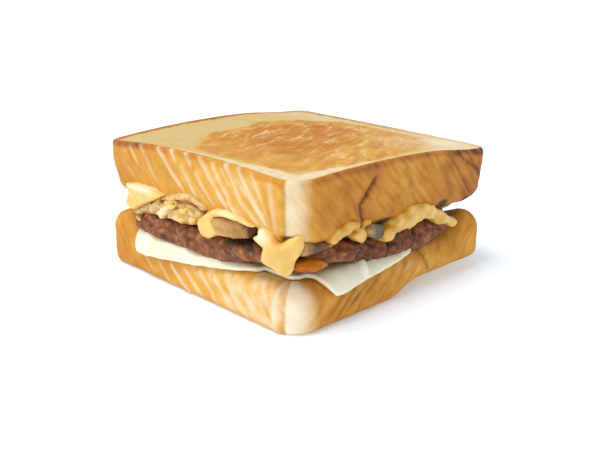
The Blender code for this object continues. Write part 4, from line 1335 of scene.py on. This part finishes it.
class SauceOperator(bpy.types.Operator):
    """Add the creamy sauce with its lobes and drips"""

    bl_idname = "patty_melt.sauce"
    bl_label = "Sauce"

    def execute(self, context):
        filling = context.scene.melt_filling
        shapes = [layer_core(SAUCE_BOTTOM, SAUCE_TOP)] + [lobe(*piece) for piece in SAUCE_LOBES]
        pool = melt_together(shapes, "sauce_skin", SAUCE_VOXEL, 5)

        def shown_right(spot):
            return ramp(46, 54, spot.x) * ramp(-44, -38, spot.y)

        for vert in pool.verts:
            height = 0.3 + 0.45 * shown_right(vert.co)
            vert.co += vert.normal * (height * lumps(vert.co, 3.4, 95) + 0.12 * lumps(vert.co, 1.8, 96))

        def gold(spot):
            yellower = shown_right(spot) * (1 - 0.4 * ramp(2, 10, spot.y))
            tone = 0.12 + 0.3 * lumps(spot, 4, 97)
            return tone + yellower * (0.52 + 0.75 * lumps(spot, 3.4, 99))

        def pale(spot):
            # Painted highlight along the top of the band over the slab and on the upper and left edges of the
            # wedge; the drop and the bits are paler sauce
            highlight_band = 0.55 * ramp(37.6, 39.2, spot.z) * bump(22, 16, spot.x)
            drop = bump(0, 5.5, (spot - Vector((44, -60, 36))).length)
            wedge = bump(-30, 16, spot.x) * ramp(36.4, 38.4, spot.z)
            wedge += bump(-41, 5, spot.x) * ramp(33, 30, spot.z)
            bits = 0.6 * bump(-17, 14, spot.x) * ramp(34.5, 33.5, spot.z)
            return (highlight_band + drop + wedge + bits) * shown_left(spot) * (0.8 + 0.4 * lumps(spot, 3, 98))

        tone_verts(pool, gold=gold, pale=pale, dark=gap_shade)
        add_piece(pool, "sauce_creamy", ("sauce",), sauce_material(filling))
        return {"FINISHED"}


# ---- Stage ----------------------------------------------------------------------------------


class StageOperator(bpy.types.Operator):
    """Add the floor, the light and the camera"""

    bl_idname = "patty_melt.stage"
    bl_label = "Stage"

    def execute(self, context):
        stage = context.scene.melt_stage
        scene = context.scene
        bm = bmesh.new()
        bmesh.ops.create_grid(bm, x_segments=8, y_segments=8, size=stage.floor_size / 2)
        mesh = bpy.data.meshes.new("floor")
        bm.to_mesh(mesh)
        bm.free()
        floor = bpy.data.objects.new("floor", mesh)
        scene.collection.objects.link(floor)
        material, tree, shader, where = new_material("pale_floor")
        grain = spread(tree, speckled(tree, where, 40, 2), 0.2, 0.8, 0.55, 0.65)
        tree.links.new(grain, shader.inputs["Roughness"])
        shader.inputs["Base Color"].default_value = (*stage.floor, 1)
        shader.inputs["Specular IOR Level"].default_value = 0.1
        shader.inputs["Emission Color"].default_value = FLOOR_TINT
        shader.inputs["Emission Strength"].default_value = stage.glow
        mesh.materials.append(material)

        world = scene.world or bpy.data.worlds.new("studio")
        scene.world = world
        world.use_nodes = True
        sky = world.node_tree
        sky.nodes.clear()
        light_path = add_node(sky, "LightPath")
        soft = add_node(sky, "Background", {0: SKY_TINT, 1: stage.sky})
        white = add_node(sky, "Background", {0: (1, 1, 1, 1), 1: 1.0})
        shown = {0: light_path.outputs["Is Camera Ray"], 1: soft.outputs[0], 2: white.outputs[0]}
        add_node(sky, "OutputWorld", {0: add_node(sky, "MixShader", shown).outputs[0]})

        for name, softness, towards in LIGHTS:
            light = bpy.data.lights.new(name, "SUN")
            light.energy = getattr(stage, name)
            light.angle = math.radians(softness)
            lamp = bpy.data.objects.new(name, light)
            lamp.rotation_euler = Vector(towards).to_track_quat("Z", "Y").to_euler()
            scene.collection.objects.link(lamp)

        scene.view_settings.view_transform = "Standard"
        turned, raised = stage.azimuth, stage.elevation
        level = Vector((math.cos(turned), math.sin(turned), 0))
        back = level.cross(UP) * math.cos(raised) + UP * math.sin(raised)
        aim = ROW_MIDDLE + UP * stage.aim_height + level * stage.aim_side
        across = level * math.cos(stage.roll) + back.cross(level) * math.sin(stage.roll)
        upward = back.cross(across)
        camera = bpy.data.objects.new("camera", bpy.data.cameras.new("camera"))
        camera.data.lens = stage.lens
        camera.data.sensor_width = 36
        camera.data.clip_start = 0.01
        camera.data.clip_end = 100
        turn = Matrix((across, upward, back)).transposed().to_4x4()
        camera.matrix_world = Matrix.Translation(aim + back * stage.distance) @ turn
        scene.collection.objects.link(camera)
        scene.camera = camera
        return {"FINISHED"}


class MeltPanel(bpy.types.Panel):
    """Lists the pieces of the sandwich and their settings"""

    bl_idname = "VIEW3D_PT_patty_melt"
    bl_label = "Patty melt"
    bl_space_type = "VIEW_3D"
    bl_region_type = "UI"
    bl_category = "Patty melt"

    def draw(self, context):
        for operator in OPERATORS:
            self.layout.operator(operator.bl_idname)
        for group in (context.scene.melt_bread, context.scene.melt_filling, context.scene.melt_stage):
            box = self.layout.box()
            for name in group.__annotations__:
                box.prop(group, name)


OPERATORS = (SlicesOperator, CheeseOperator, PattyOperator, OnionsOperator, SauceOperator, StageOperator)
SETTINGS = {"melt_bread": BreadSettings, "melt_filling": FillingSettings, "melt_stage": StageSettings}
CLASSES = (*SETTINGS.values(), *OPERATORS, MeltPanel)


def register():
    for made in CLASSES:
        bpy.utils.register_class(made)
    for name, group in SETTINGS.items():
        setattr(bpy.types.Scene, name, PointerProperty(type=group))


def unregister():
    for name in SETTINGS:
        delattr(bpy.types.Scene, name)
    for made in reversed(CLASSES):
        bpy.utils.unregister_class(made)


def main():
    register()
    for step in ("slices", "cheese", "patty", "onions", "sauce", "stage"):
        getattr(bpy.ops.patty_melt, step)()


if __name__ == "__main__":
    main()
